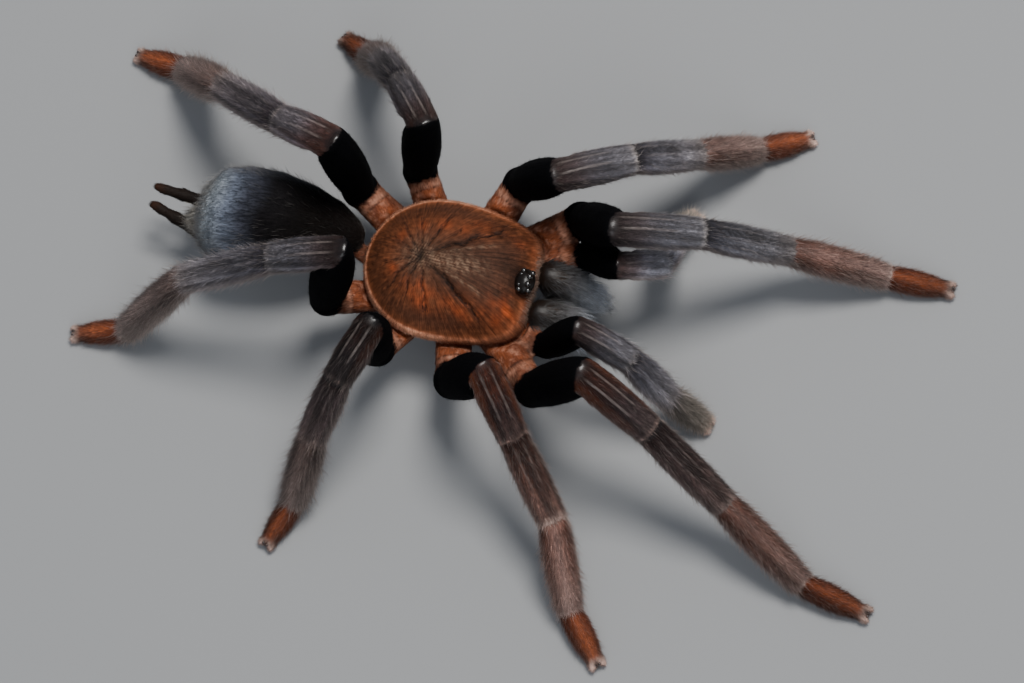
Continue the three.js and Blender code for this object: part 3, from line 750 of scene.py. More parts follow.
def point_normals(mesh):
    return read(mesh.vertices, "normal").astype(float)


def scatter(points, normals, faces, density, dice):
    """Random roots on the faces, density to each square millimetre: place, normal and face."""
    corners = points[faces]
    edges = corners[:, 1:] - corners[:, :1]
    areas = np.linalg.norm(np.cross(edges[:, 0], edges[:, 1]), axis=1) / 2
    weights = areas * 1e6 * density         # the areas are in square metres
    count = int(round(weights.sum()))
    chosen = np.searchsorted(np.cumsum(weights), dice.uniform(0, weights.sum(), count))
    a, b = dice.uniform(size=(2, count))
    flip = a + b > 1
    a[flip], b[flip] = 1 - a[flip], 1 - b[flip]
    shares = np.stack([1 - a - b, a, b], 1)[..., None]
    roots, ways = ((values[faces[chosen]] * shares).sum(1) for values in (points, normals))
    return roots, unit(ways), chosen


def tufts(roots, normals, lie, length, width, lift, droop, colour, tip_colour, unwrap, dice,
          rings=(0, 0.5, 1)):
    """Arrays of one layer of tufts: points, faces, colours, OFBake places and facing. Length and
    width are in mm, lift is the angle at the root in degrees, and droop bends the tip back
    towards the skin."""
    count = len(roots)
    length, width, lift, droop = (np.broadcast_to(value, count).astype(float)
                                  for value in (length, width, lift, droop))
    length = length * MM * dice.uniform(0.65, 1.2, count)
    lift = np.radians(lift * dice.uniform(0.5, 1.5, count))
    along = unit(lie - normals * (lie * normals).sum(1)[:, None])
    side = np.cross(normals, along)
    turn = dice.normal(0, TUFT_TURN, count)[:, None]
    along, side = along * np.cos(turn) + side * np.sin(turn), side * np.cos(turn) - along * np.sin(turn)
    sway = dice.normal(0, TUFT_SWAY, count)
    back = normals * np.cos(lift)[:, None] - along * np.sin(lift)[:, None]
    points, colours, uvs = [], [], []
    for share in rings:
        rise = share * np.sin(lift) - droop * share ** 2
        level = along * (share * np.cos(lift))[:, None] + side * (sway * share ** 2)[:, None]
        centre = roots + level * length[:, None]
        centre += normals * (rise * length - ROOT_DEPTH * (1 - share))[:, None]
        tone = with_alpha(colour + (tip_colour - colour) * share ** 1.3, share)
        if share == rings[-1]:
            corners = [(0, 0, [0.0015, 0])]
        else:
            corners = [(c, s, [0.003 * (share - 0.5), 0.0012 * c]) for c, s in BLADE]
        girth = width * MM / 2 * (1 - TUFT_TAPER * share)
        for c, s, shift in corners:
            points.append(centre + (side * c + back * s * TUFT_FLAT) * girth[:, None])
            colours.append(tone)
            uvs.append(unwrap + shift)
    size = len(points)
    pattern = [(0, 2, 1)]
    for ring in range(len(rings) - 2):
        for k in range(3):
            a, b = 3 * ring + k, 3 * ring + (k + 1) % 3
            pattern += [(a, b, b + 3), (a, b + 3, a + 3)]
    last = size - 1
    pattern += [(last - 3 + k, last - 3 + (k + 1) % 3, last) for k in range(3)]
    faces = (np.arange(count)[:, None, None] * size + np.array(pattern)[None]).reshape(-1, 3)
    points, colours, uvs = (np.stack(rows, 1).reshape(count * size, -1) for rows in (points, colours, uvs))
    return points, faces, colours, uvs, np.repeat(normals + along * TUFT_LEAN, size, axis=0)


def make_coat(name, layers, material):
    """Joins layers of tufts into one mesh piece that rides on the body."""
    starts = np.cumsum([0] + [len(layer[0]) for layer in layers])
    faces = np.concatenate([layer[1] + start for layer, start in zip(layers, starts)]).astype(np.int32)
    points, colours, places, facing = (np.concatenate([layer[k] for layer in layers]) for k in (0, 2, 3, 4))
    points[:, 2] = np.maximum(points[:, 2], CLEARANCE)
    mesh = bpy.data.meshes.new(name)
    mesh.vertices.add(len(points))
    mesh.vertices.foreach_set("co", points.astype(np.float32).ravel())
    mesh.loops.add(faces.size)
    mesh.loops.foreach_set("vertex_index", faces.ravel())
    mesh.polygons.add(len(faces))
    mesh.polygons.foreach_set("loop_start", np.arange(0, faces.size, 3, dtype=np.int32))
    mesh.update(calc_edges=True)
    mesh.shade_smooth()
    write_attribute(mesh, "strand", "FLOAT_COLOR", colours)
    write_attribute(mesh, "facing", "FLOAT_VECTOR", facing)
    bake = mesh.uv_layers.new(name="OFBake")
    bake.data.foreach_set("uv", places[faces.ravel()].astype(np.float32).ravel())
    mesh.materials.append(material)
    piece = bpy.data.objects.new(name, mesh)
    bpy.context.scene.collection.objects.link(piece)
    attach(piece, "root")
    print(name, len(faces), "triangles")
    return piece


# A strand is darker where it leaves the skin, a painted shade among the hairs, and flecked.
# It faces nearly as the skin under it does, as light that scatters among hairs evens out
# their shading.
strand, strand_in, strand_out = node_group("strand", [("Root Shade", "Float"), ("Softness", "Float")],
                                           [("Colour", "Color"), ("Normal", "Vector")])
painted_root_shade = add_map(strand, attribute(strand, "strand", "Alpha"), 0.0, 0.6, strand_in["Root Shade"], 1.0)
strand_place = add_node(strand, "ShaderNodeTexCoord").outputs["Object"]
fleck = add_map(strand, add_noise(strand, strand_place, 2600.0, 2.0), 0.3, 0.7, 0.75, 1.25)
strand_colour = add_vector_math(strand, "MULTIPLY", attribute(strand, "strand", "Color"),
                                add_math(strand, "MULTIPLY", painted_root_shade, fleck))
own_normal = add_node(strand, "ShaderNodeNewGeometry").outputs["Normal"]
soft_normal = add_node(strand, "ShaderNodeMix", data_type="VECTOR")
skin_normal = attribute(strand, "facing", "Vector")
for socket, source in ((0, strand_in["Softness"]), (4, own_normal), (5, skin_normal)):
    strand.links.new(source, soft_normal.inputs[socket])
even_normal = add_vector_math(strand, "NORMALIZE", soft_normal.outputs[1])
strand.links.new(strand_colour, strand_out["Colour"])
strand.links.new(even_normal, strand_out["Normal"])


def strand_material(name, roughness, specular, root_shade, softness=0.7, **constants):
    material, tree, shader = node_material(name, roughness, Specular_IOR_Level=specular, **constants)
    group = add_node(tree, "ShaderNodeGroup", node_tree=strand)
    group.inputs["Root Shade"].default_value = root_shade
    group.inputs["Softness"].default_value = softness
    tree.links.new(group.outputs["Colour"], shader.inputs["Base Color"])
    tree.links.new(group.outputs["Normal"], shader.inputs["Normal"])
    return material


leg_hair = strand_material("leg hair", 0.5, 0.25, 0.7)
skin_faces = triangles_of(skin.data)
skin_normals = point_normals(skin.data)
face_owner = skin_owner[skin_faces[:, 0]]
face_place = skin_place[skin_faces].mean(1)

# run along the limb: density per square millimetre, length, lift, width (mm), droop
LIMB_DOWN = np.array([
    (1.00, 10, 0.40, 26, 0.04, 0.05), (1.97, 12, 0.40, 26, 0.04, 0.05), (1.99, 10, 0.35, 14, 0.04, 0.05),
    (2.02, 20, 0.4, 8, 0.04, 0.03), (2.06, 66, 0.6, 9, 0.04, 0.03), (2.30, 72, 0.75, 9, 0.043, 0.04),
    (2.90, 82, 0.8, 12, 0.042, 0.05), (2.97, 82, 0.45, 24, 0.042, 0.05), (2.995, 30, 0.3, 20, 0.04, 0.05),
    (3.06, 40, 0.7, 12, 0.04, 0.05), (3.25, 68, 0.9, 15, 0.043, 0.05), (3.93, 75, 1.0, 19, 0.043, 0.06),
    (3.98, 56, 0.5, 26, 0.042, 0.05), (4.10, 74, 1.05, 25, 0.043, 0.08), (4.90, 82, 1.05, 30, 0.043, 0.1),
    (4.98, 70, 0.5, 26, 0.042, 0.05), (5.06, 90, 0.62, 26, 0.041, 0.06), (5.85, 98, 0.58, 30, 0.041, 0.08),
    (5.92, 134, 0.38, 44, 0.04, 0.05), (6.00, 138, 0.3, 50, 0.04, 0.05)])
LIMB_BRISTLES = np.array([
    (1.00, 0, 0.5, 30, 0.03, 0.1), (2.00, 0, 0.5, 30, 0.03, 0.1), (2.08, 5, 0.9, 18, 0.03, 0.12),
    (2.90, 10, 1.15, 28, 0.03, 0.15), (3.10, 11, 1.25, 30, 0.03, 0.15), (3.90, 16, 1.45, 34, 0.03, 0.18),
    (4.20, 22, 1.65, 38, 0.03, 0.18), (4.85, 22, 1.6, 42, 0.03, 0.18), (5.05, 16, 1.15, 40, 0.03, 0.18),
    (5.80, 14, 1.0, 40, 0.03, 0.18), (6.00, 0, 0.5, 36, 0.03, 0.15)])


def settings_at(run, table):
    return [np.interp(run, table[:, 0], table[:, column]) for column in range(1, 6)]


def sow(some, density, dice):
    """Roots on some of the skin's faces: their points, normals and places, and each one's face."""
    roots, normals, chosen = scatter(skin_points, skin_normals, skin_faces[some], density, dice)
    return roots, normals, place_in(roots, face_owner[some][chosen]), chosen


def vary(colour, spread, dice):
    """Each row of the colours lighter or darker at random."""
    return colour * np.exp(dice.normal(0, spread, len(colour)))[:, None]


def polar_unwrap(place, spans=1, first=0.0, last=1.0):
    """OFBake places round a limb or barrel: its share from first to last, and the turn."""
    turn = np.arctan2(place[:, 1], place[:, 2]) / (2 * np.pi) + 0.5
    share = 0.01 + 0.98 * np.clip(place[:, 0], 0, spans) / spans
    return np.stack([first + (last - first) * share, 0.01 + 0.98 * turn], 1)


def limb_layer(name, first_segment, table, dice, rings, tip, tip_share):
    """One layer of tufts on the femur alone (first segment 1) or on all that follows it."""
    is_palp, is_bristle = name.startswith("palp"), table is LIMB_BRISTLES
    ways = limbs[name]["ways"]
    segments = [1] if first_segment == 1 else range(first_segment, len(ways))
    mine = np.isin(face_owner, [OWNERS.index((name, k)) for k in segments])
    run = leg_run(face_place[mine], name)
    density = settings_at(run, table)[0]
    if is_bristle:
        density = density * np.where(face_place[mine, 2] > 0.5, 0.4, 1.0)
        density = density + (10.0 if is_palp else 0) * (run > 5) * (run < 5.8)
    roots, normals, place, _ = sow(mine, density, dice)
    offset, reach = strip_offset(place, name)
    keep = (np.abs(offset) > 1.1) | (dice.uniform(0.1, 1.0, len(roots)) > reach)
    roots, normals, place = roots[keep], normals[keep], place[keep]
    run = leg_run(place, name)
    _, length, lift, width, droop = settings_at(run, table)
    length = length * np.where(is_palp & (run > 2.6) & (run < 5.85), 1.45, 1.0)
    length = length * np.where((run > 2.5) & (run < 5) & name.endswith(("3", "4")), 1.3, 1.0)
    lift = lift * np.where(is_palp & (run > 5), 1.35, 1.0)
    colour = vary(limb_marking(roots, place, name), 0.3, dice)
    tip_share = tip_share * np.where((run > 5.02) & (run < 5.86), 0.5, 1.0)
    tip_share = tip_share * (0.35 + 0.65 * np.clip(0.9 - place[:, 2], 0, 1))
    tip_colour = blend(colour * 1.4, tip, tip_share * dice.uniform(0.3, 1.0, len(roots)))
    if is_bristle:
        colour = blend(colour, tip_colour, 0.6)
    tip_colour = np.where((run < 2)[:, None], colour, tip_colour)
    lie = ways[place[:, 0].astype(int)]
    unwrap = polar_unwrap(place - [1, 0, 0], spans=5)
    return tufts(roots, normals, lie, length, width, lift, droop, colour, tip_colour, unwrap, dice, rings)


DOWN_TIP = paint(182, 168, 162)
BRISTLE_TIP = paint(214, 196, 184)
velvet_hair = strand_material("velvet hair", 0.9, 0.04, 1.0, Sheen_Weight=0.1, Sheen_Roughness=0.4)
velvet_layers = []
for seed, name in enumerate(limbs):
    dice = np.random.default_rng(100 + seed)
    velvet_layers.append(limb_layer(name, 1, LIMB_DOWN, dice, (0, 1), DOWN_TIP, 0))
    layers = [limb_layer(name, 2, LIMB_DOWN, dice, (0, 1), DOWN_TIP, 0.55),
              limb_layer(name, 2, LIMB_BRISTLES, dice, (0, 0.4, 1), BRISTLE_TIP, 1.0)]
    make_coat(f"coat_{name}", layers, leg_hair)
make_coat("coat_femora", velvet_layers, velvet_hair)

# ------------------------------------------------------------------ the coat of the abdomen
# A dense short pile that runs back over the soft abdomen, nearly black in front and pale blue
# grey behind, with a longer tan fringe low on the sides and round the rear.
def owned_faces(*names):
    return np.isin(face_owner, [k for k, owner in enumerate(OWNERS) if owner[0] in names])


abdomen_hair = strand_material("abdomen hair", 0.65, 0.12, 0.8, Sheen_Weight=0.25, Sheen_Roughness=0.45)
dice = np.random.default_rng(31)
abdomen_way = unit(abdomen_rear - abdomen_front)
mine = owned_faces("abdomen")
roots, normals, place, _ = sow(mine, 42.0, dice)
colour = vary(abdomen_marking(roots, place), 0.22, dice)
edge = climb(np.abs(place[:, 1]), 0.72, 0.25) * np.clip(0.6 - place[:, 2], 0, 1)
loose = np.maximum(edge, climb(place[:, 0], 0.84, 0.14))
pile = tufts(roots, normals, abdomen_way, 0.8 + 0.5 * loose, 0.045, 9 + 12 * loose, 0.04, colour,
             blend(colour * 1.3, paint(160, 150, 138), loose * 0.6), polar_unwrap(place), dice, (0, 1))
face_run, face_aside = face_place[mine, 0], np.abs(face_place[mine, 1])
fringe_density = 9.0 * np.clip((face_aside - 0.6) / 0.3, 0.08, 1) + 9 * (face_run > 0.86)
roots, normals, place, _ = sow(mine, fringe_density, dice)
colour = abdomen_marking(roots, place)
outer = np.clip(np.abs(place[:, 1]) + (place[:, 0] > 0.8), 0.2, 0.8)
behind = climb(place[:, 0], 0.84, 0.1)
fringe = tufts(roots, normals, abdomen_way, 1.4 + 0.6 * behind, 0.032, 34, 0.22,
               glaze(colour, ((120, 112, 106), outer * 0.6)),
               blend(colour, blend(paint(188, 182, 176), paint(168, 148, 122), behind), outer),
               polar_unwrap(place), dice, (0, 0.4, 1))
make_coat("coat_abdomen", [pile, fringe], abdomen_hair)

# ------------------------------------------------------------------ the coat of the underside
# Orange hair covers the hips and the trochanters beside the shield and thins to dark brown
# down on the breastplate. Peach hair stands out along the hips' edges.
body_hair = strand_material("body hair", 0.6, 0.15, 0.75)
dice = np.random.default_rng(32)
mine = owned_faces("body")
roots, normals, place, _ = sow(mine, np.where(face_place[mine, 2] > -0.2, 40.0, 13.0), dice)
way_round = np.array([np.linalg.norm(roots - limb["joints"][0], axis=1)
                      + np.linalg.norm(roots - limb["joints"][1], axis=1) for limb in limbs.values()])
lie = np.array([limb["ways"][0] for limb in limbs.values()])[way_round.argmin(0)]
colour = vary(body_marking(roots, place), 0.36, dice)
peach = np.clip(0.9 - place[:, 2], 0, 1) * (place[:, 2] > -0.3) * dice.uniform(0.2, 0.9, len(roots))
hips = tufts(roots, normals, lie, 0.62, 0.042, 14, 0.05, colour,
             glaze(colour * 1.2, ((222, 170, 146), peach * 0.5)), polar_unwrap(place), dice, (0, 1))
make_coat("coat_body", [hips], body_hair)

# ------------------------------------------------------------------ the coat of the jaws
# The jaws are bare and dark where they leave the shield. From there long blue-grey hair is
# combed forward and down over them, palest at its tips and brown on the jaws' undersides.
# for each layer: density, lift, length in mm, and the rings of its tufts
JAW_LAYERS = ((66, 7, 1.3, (0, 0.5, 1)), (17, 13, 2.1, (0, 0.35, 0.7, 1)))
jaw_hair = strand_material("jaw hair", 0.42, 0.45, 0.75, 0.75)
dice = np.random.default_rng(33)
layers = []
for k, side_name in enumerate(SIDES):
    name = f"chelicera_{side_name}"
    mine = owned_faces(name)
    way = unit(single_barrels[name][1] - single_barrels[name][0])
    # hair stands denser and higher between the jaws, where it fills their gap
    inner = np.clip(face_place[mine, 1] * (1 if side_name == "left" else -1), 0, 1)
    haired = np.clip((face_place[mine, 0] - 0.05 + 0.12 * inner) / 0.2, 0.0, 1)
    for amount, lift, length, rings in JAW_LAYERS:
        density = amount * (1 + 0.5 * inner) * haired
        roots, normals, place, chosen = sow(mine, density, dice)
        colour = vary(jaw_marking(roots, place), 0.25, dice)
        size = np.interp(place[:, 0], [0, 0.25, 0.6, 1], [0.5, 1.0, 1.15, 0.9]) * length
        paleness = dice.uniform(0.1, 0.9, len(roots)) * np.clip(place[:, 0] * 2.2, 0, 1)
        layers.append(tufts(roots, normals, way, size, 0.037, lift * (1 + inner[chosen]), 0.06, colour,
                            glaze(colour * 1.25, ((238, 240, 244), paleness)),
                            polar_unwrap(place, 1, 0.5 * k, 0.5 * k + 0.5), dice, rings))
make_coat("coat_jaws", layers, jaw_hair)

# ------------------------------------------------------------------ the coat of the spinnerets
# The two long spinnerets wear short dark brown hair. It lies close along them and points to
# their tips, where it is a little redder.
dice = np.random.default_rng(34)
layers = []
for k, side_name in enumerate(SIDES):
    name = f"spinneret_{side_name}"
    way = unit(single_barrels[name][1] - single_barrels[name][0])
    roots, normals, place, _ = sow(owned_faces(name), 90.0, dice)
    colour = vary(spinneret_marking(roots, place), 0.2, dice)
    layers.append(tufts(roots, normals, way, 0.45, 0.04, 16, 0.08, colour, colour * 1.7,
                        polar_unwrap(place, 1, 0.5 * k, 0.5 * k + 0.5), dice, (0, 1)))
make_coat("coat_spinnerets", layers, body_hair)

# ------------------------------------------------------------------ the carapace
# A hard shield over the front body: low, domed, with a pit in its middle from which dark
# furrows run out, two of them bounding the raised head. Its rim is rounded.
jaw_root, jaw_tip = (sum(single_barrels[f"chelicera_{side}"][end] for side in SIDES) / 2 for end in (0, 1))
AHEAD = unit((jaw_tip - jaw_root) * [1, 1, 0])
ASIDE = np.cross([0, 0, 1], AHEAD)


def along_axis(points):
    """Distances ahead and aside of the middle between the jaws' roots."""
    return (points - jaw_root) @ AHEAD, (points - jaw_root) @ ASIDE


shield = fresh_copy("carapace", "carapace_shield")
add_modifier(shield, "SUBSURF", levels=4, render_levels=4)
finish_modifiers(shield)
shield_points = mesh_points(shield.data)
shield_ahead, shield_aside = along_axis(shield_points)
PIT_SHARE = 0.335                   # the pit's place, from the rear to the front of the shield
PIT_DEPTH, SWELL, BRIM, SHIELD_DROP = 0.35 * MM, 0.05 * MM, 0.1 * MM, 0.05 * MM
PIT_AHEAD = shield_ahead.min() + PIT_SHARE * (shield_ahead.max() - shield_ahead.min())


def from_pit(points):
    """Turn from straight ahead, left positive, and distance from the pit."""
    ahead, aside = along_axis(points)
    return np.arctan2(aside, ahead - PIT_AHEAD), np.hypot(aside, ahead - PIT_AHEAD)


rim_turn, rim_distance = from_pit(shield_points)
rim_bins = np.linspace(-np.pi, np.pi, 97)
rim_reach = np.array([rim_distance[(rim_turn >= low) & (rim_turn <= high)].max()
                      for low, high in zip(rim_bins, rim_bins[1:])])
rim_middles = (rim_bins[:-1] + rim_bins[1:]) / 2


def shield_place(points):
    """Turn from straight ahead (degrees, left positive), distance from the pit, share to the rim."""
    turn, distance = from_pit(points)
    return np.degrees(turn), distance, distance / np.interp(turn, rim_middles, rim_reach, period=2 * np.pi)


# heading in degrees from straight ahead, bend, half width (mm), first and last share, depth (mm)
FURROWS = [(29, 7, 0.25, 0.14, 0.82, 0.22), (66, 8, 0.18, 0.12, 0.72, 0.12),
           (97, 4, 0.15, 0.1, 0.64, 0.09), (128, -3, 0.18, 0.1, 0.66, 0.11),
           (158, -4, 0.14, 0.1, 0.6, 0.07), (46, 6, 0.09, 0.26, 0.6, 0.03),
           (82, 5, 0.08, 0.2, 0.55, 0.03), (112, 0, 0.09, 0.2, 0.6, 0.04)]
# bright orange patches lie between the furrows; those on the right (negative turn) are
# stronger, partly as painted light: turn, its spread, share, its spread, strength
PATCHES = [(-21, 9, 0.84, 0.12, 0.85), (22, 8, 0.86, 0.1, 0.3), (-42, 10, 0.66, 0.15, 0.6),
           (44, 10, 0.62, 0.13, 0.4), (-72, 14, 0.5, 0.17, 0.95), (70, 12, 0.5, 0.13, 0.35),
           (-102, 10, 0.45, 0.12, 0.5), (104, 12, 0.45, 0.12, 0.4), (-143, 12, 0.45, 0.13, 0.6),
           (143, 12, 0.45, 0.13, 0.5)]
SHIELD_RAMP = [(0.0, (62, 44, 34)), (0.2, (80, 49, 33)), (0.55, (97, 54, 33)), (0.8, (88, 50, 31)),
               (0.9, (106, 60, 37)), (0.95, (140, 80, 52)), (1.0, (136, 78, 50))]


def furrow_mask(points, narrow=1.0):
    """How far down in a furrow each point is, and how deep that is in metres."""
    turn, distance, share = shield_place(points)
    mask, depth = np.zeros(len(points)), np.zeros(len(points))
    wander = 2.4 * ripple(points[:, :2], 0.5 * MM, 21)
    crumble = np.clip(0.75 + 0.6 * ripple(points[:, :2], 0.07 * MM, 28), 0.2, 1)
    for heading, bend, half, first, last, deep in FURROWS:
        away = np.abs(turn) - (heading + bend * share + wander)
        offset = distance * np.sin(np.radians(np.clip(away, -90, 90)))
        line = np.exp(-(offset / (half * narrow * MM)) ** 2) * window(share, first, last, 0.2)
        mask = np.maximum(mask, line * crumble * min(1.0, 0.35 + deep * 4))
        depth = np.maximum(depth, line * deep * MM)
    return mask, depth


def shield_marking(points):
    turn, distance, share = shield_place(points)
    ahead, aside = (values / MM for values in along_axis(points))
    ahead = ahead - PIT_AHEAD / MM
    flat = points[:, :2]
    edge = window(share, 0.95, 1.1, 0.04) * (0.3 + 0.7 * climb(np.abs(turn), 40, 25))
    head = np.exp(-(aside / (1.6 + 0.28 * ahead.clip(0, 9))) ** 4) * window(ahead, 2.2, 9.6, 1.5)
    mottle = 0.5 + 0.5 * ripple(flat, 0.45 * MM, 22)
    glow = sum(strength * np.exp(-((turn - heading) / spread) ** 2 - ((share - middle) / reach) ** 2)
               for heading, spread, middle, reach, strength in PATCHES)
    shoulder = np.exp(-((np.abs(turn) - 80) / 45) ** 2 - ((share - 0.8) / 0.1) ** 2)
    # pale hair runs from the pit forward over the head, and a line of it along each of its sides
    pale = np.exp(-(aside / 0.9) ** 2) * window(ahead, -0.4, 6.0, 2.6)
    pale = np.maximum(pale, 0.8 * np.exp(-(distance / (1.6 * MM)) ** 2))
    head_line = 0.9 * np.exp(-((np.abs(turn) - 20.5) / 2.0) ** 2) * window(share, 0.14, 0.6, 0.2)
    pale = np.maximum(pale, head_line)
    fleck = np.clip(0.35 + 0.8 * ripple(flat, 0.05 * MM, 25), 0, 1)
    colour = glaze(ramp(share, SHIELD_RAMP),
                   ((214, 150, 118), edge * (0.65 + 0.3 * ripple(flat, 0.25 * MM, 29))),
                   ((58, 39, 29), head * 0.75),
                   ((164, 74, 36), np.clip(glow * (0.2 + 0.8 * mottle), 0, 1) * 0.9),
                   ((56, 36, 27), shoulder * 0.45),
                   ((148, 120, 98), np.clip(pale * fleck, 0, 1) * 0.6))
    # fine streaks radiate from the pit, over small soft patches
    ray = ripple(np.stack([turn / 0.7, share * 4], 1), 1.0, 26) * window(share, 0.1, 0.93, 0.1)
    colour = colour * np.exp(0.14 * ray + 0.2 * ripple(flat, 0.14 * MM, 27))[:, None]
    pit = np.exp(-((ahead / 0.32) ** 2 + (aside / 0.7) ** 2))
    mound = np.exp(-(((ahead - 10.1) / 1.1) ** 4 + (aside / 1.45) ** 4))
    colour = glaze(colour, ((24, 16, 13), np.clip(furrow_mask(points)[0] * 1.1, 0, 1) * 0.85),
                   ((16, 12, 10), pit * 0.9), ((20, 15, 13), mound * 0.85))
    return np.clip(colour * (1 + 0.12 * ripple(points, 0.3 * MM, 23))[:, None], 0.001, 1)


upper = np.clip(point_normals(shield.data)[:, 2] * 3, 0, 1)
furrow_depth = furrow_mask(shield_points)[1]
shield_turn, _, shield_share = shield_place(shield_points)
pit_offset = ((shield_ahead - PIT_AHEAD) / (0.3 * MM)) ** 2 + (shield_aside / (0.7 * MM)) ** 2
pit_depth = PIT_DEPTH * np.exp(-pit_offset)
swell = SWELL * ripple(shield_points[:, :2], 2.0 * MM, 24) * window(shield_share, 0.15, 0.9, 0.2)
brim = BRIM * np.exp(-((shield_share - 0.97) / 0.03) ** 2)
shield_points[:, 2] += upper * (swell + brim - furrow_depth - pit_depth) - SHIELD_DROP
set_points(shield.data, shield_points)
write_attribute(shield.data, "marking", "FLOAT_COLOR", with_alpha(shield_marking(shield_points), 0.3))
shield_ways = np.cos(np.radians(shield_turn)) * 3, np.sin(np.radians(shield_turn)) * 3
write_attribute(shield.data, "place", "FLOAT_VECTOR", np.stack([shield_share, *shield_ways], 1))
shield.data.materials.append(pelt_material("shield pelt", (5, 26, 26), 0.05 * MM))
shield.data.shade_smooth()
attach(shield, "root")
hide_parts("carapace")

# Its coat is short appressed hair that runs out from the pit, with a peach fringe on the rim
# and a few black hairs along the furrows.
shield_hair = strand_material("shield hair", 0.6, 0.14, 0.8)
shield_faces = triangles_of(shield.data)
shield_normals = point_normals(shield.data)
dice = np.random.default_rng(35)
face_middles = shield_points[shield_faces].mean(1)
face_up = shield_normals[shield_faces].mean(1)[:, 2]
face_share = shield_place(face_middles)[2]
face_furrow = furrow_mask(face_middles, 0.8)[0]
pit_place = jaw_root + AHEAD * PIT_AHEAD
shield_mesh = shield_points, shield_normals, shield_faces


def shield_tufts(roots, normals, length, width, lift, droop, colour, tip_colour, fall=0.0,
                 rings=(0, 0.5, 1)):
    """Tufts that point away from the pit, and down by the fall in mm."""
    lie = (roots - pit_place) * [1, 1, 0] - [0, 0, fall * MM]
    unwrap = 0.04 + 0.9 * (roots[:, :2] - body_low[:2]) / (body_high - body_low)[:2].max()
    return tufts(roots, normals, lie, length, width, lift, droop, colour, tip_colour, unwrap, dice, rings)


density = np.where(face_up > 0.1, 84.0, 0.0) * (1 - 0.5 * face_furrow)
roots, normals, _ = scatter(*shield_mesh, density, dice)
colour = vary(shield_marking(roots), 0.24, dice)
down_layer = shield_tufts(roots, normals, 0.42, 0.036, 9, 0.03, colour, colour * 1.3, rings=(0, 1))

# the fringe is longer and greyer in front, and dark at the corners of the head
density = np.where((face_share > 0.94) & (face_up > -0.4), 76.0, 0.0)
roots, normals, _ = scatter(*shield_mesh, density, dice)
turn = np.abs(shield_place(roots)[0])
front, corner = np.clip((21 - turn) / 6, 0, 1), window(turn, 17, 60, 12)
colour = blend(paint(212, 138, 100), paint(150, 122, 108), front)
colour = vary(glaze(colour, ((126, 66, 38), corner * 0.8)), 0.25, dice)
paleness = dice.uniform(0.2, 0.8, len(roots)) * (1 - 0.8 * corner)
rim_layer = shield_tufts(roots, normals, 0.45 + 0.3 * front, 0.034, 20, 0.1, colour,
                         glaze(colour, ((236, 202, 180), paleness)), fall=1.5)

roots, normals, _ = scatter(*shield_mesh, np.where(face_up > 0.3, 40.0, 0.0) * face_furrow, dice)
colour = np.tile(paint(16, 12, 10), (len(roots), 1))
furrow_layer = shield_tufts(roots, normals, 0.5, 0.046, 18, 0.1, colour, colour)
make_coat("coat_carapace", [down_layer, rim_layer, furrow_layer], shield_hair)

# ------------------------------------------------------------------ the eyes
# Eight small glossy lenses sit on one low black mound at the front of the shield: four across
# its front, and two pairs at its sides.
mound_low, mound_high = (np.array(corner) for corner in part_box("eye_mound"))
mound_centre = (mound_low + mound_high) / 2 * [1, 1, 0] + [0, 0, mound_high[2] - 0.96 * MM]
MOUND_HALF = np.array([0.98, 1.3, 0.8]) * MM
MOUND_HEADING = math.atan2(AHEAD[1], AHEAD[0])
# for each pair, in mm: how far ahead of the mound's middle, how far aside, radius; and flattening
LENSES = [(0.42, 0.36, 0.31, 1.0), (0.56, 0.9, 0.29, 0.9),
          (-0.34, 0.98, 0.27, 0.8), (-0.44, 0.55, 0.19, 0.8)]

# lenses, mound and horn have a fine grain between two dark tones
grain, grain_in, grain_out = node_group(
    "fine grain", [("Scale", "Float"), ("Detail", "Float"), ("Dark", "Color"), ("Light", "Color")],
    [("Colour", "Color"), ("Height", "Float")])
grain_place = add_node(grain, "ShaderNodeTexCoord").outputs["Object"]
grain_noise = add_noise(grain, grain_place, grain_in["Scale"], grain_in["Detail"])
grain_tone = add_mix(grain, grain_noise, grain_in["Dark"], grain_in["Light"])
grain.links.new(grain_tone, grain_out["Colour"])
grain.links.new(grain_noise, grain_out["Height"])


def grained_material(name, roughness, scale, detail, dark, light, **constants):
    """A material whose colour has the fine grain: it, its tree, its shader and the grain's height."""
    material, tree, shader = node_material(name, roughness, **constants)
    values = [("Scale", scale), ("Detail", detail), ("Dark", (*dark, 1)), ("Light", (*light, 1))]
    group = add_node(tree, "ShaderNodeGroup", values, node_tree=grain)
    tree.links.new(group.outputs["Colour"], shader.inputs["Base Color"])
    return material, tree, shader, group.outputs["Height"]


eye_lens = grained_material("eye lens", 0.06, 1800.0, 2.0, (0.003, 0.0025, 0.002), (0.018, 0.012, 0.008),
                            Coat_Weight=1.0, Coat_Roughness=0.03, Specular_IOR_Level=0.7)[0]
mound_cuticle, mound_tree, mound_shader, mound_grain = grained_material(
    "mound cuticle", 0.3, 4200.0, 3.0, (0.002, 0.0015, 0.0015), (0.012, 0.008, 0.006),
    Specular_IOR_Level=0.25)
mound_bump = add_node(mound_tree, "ShaderNodeBump", [("Strength", 0.4), ("Distance", 0.04 * MM),
                                                     ("Height", mound_grain)])
mound_tree.links.new(mound_bump.outputs["Normal"], mound_shader.inputs["Normal"])

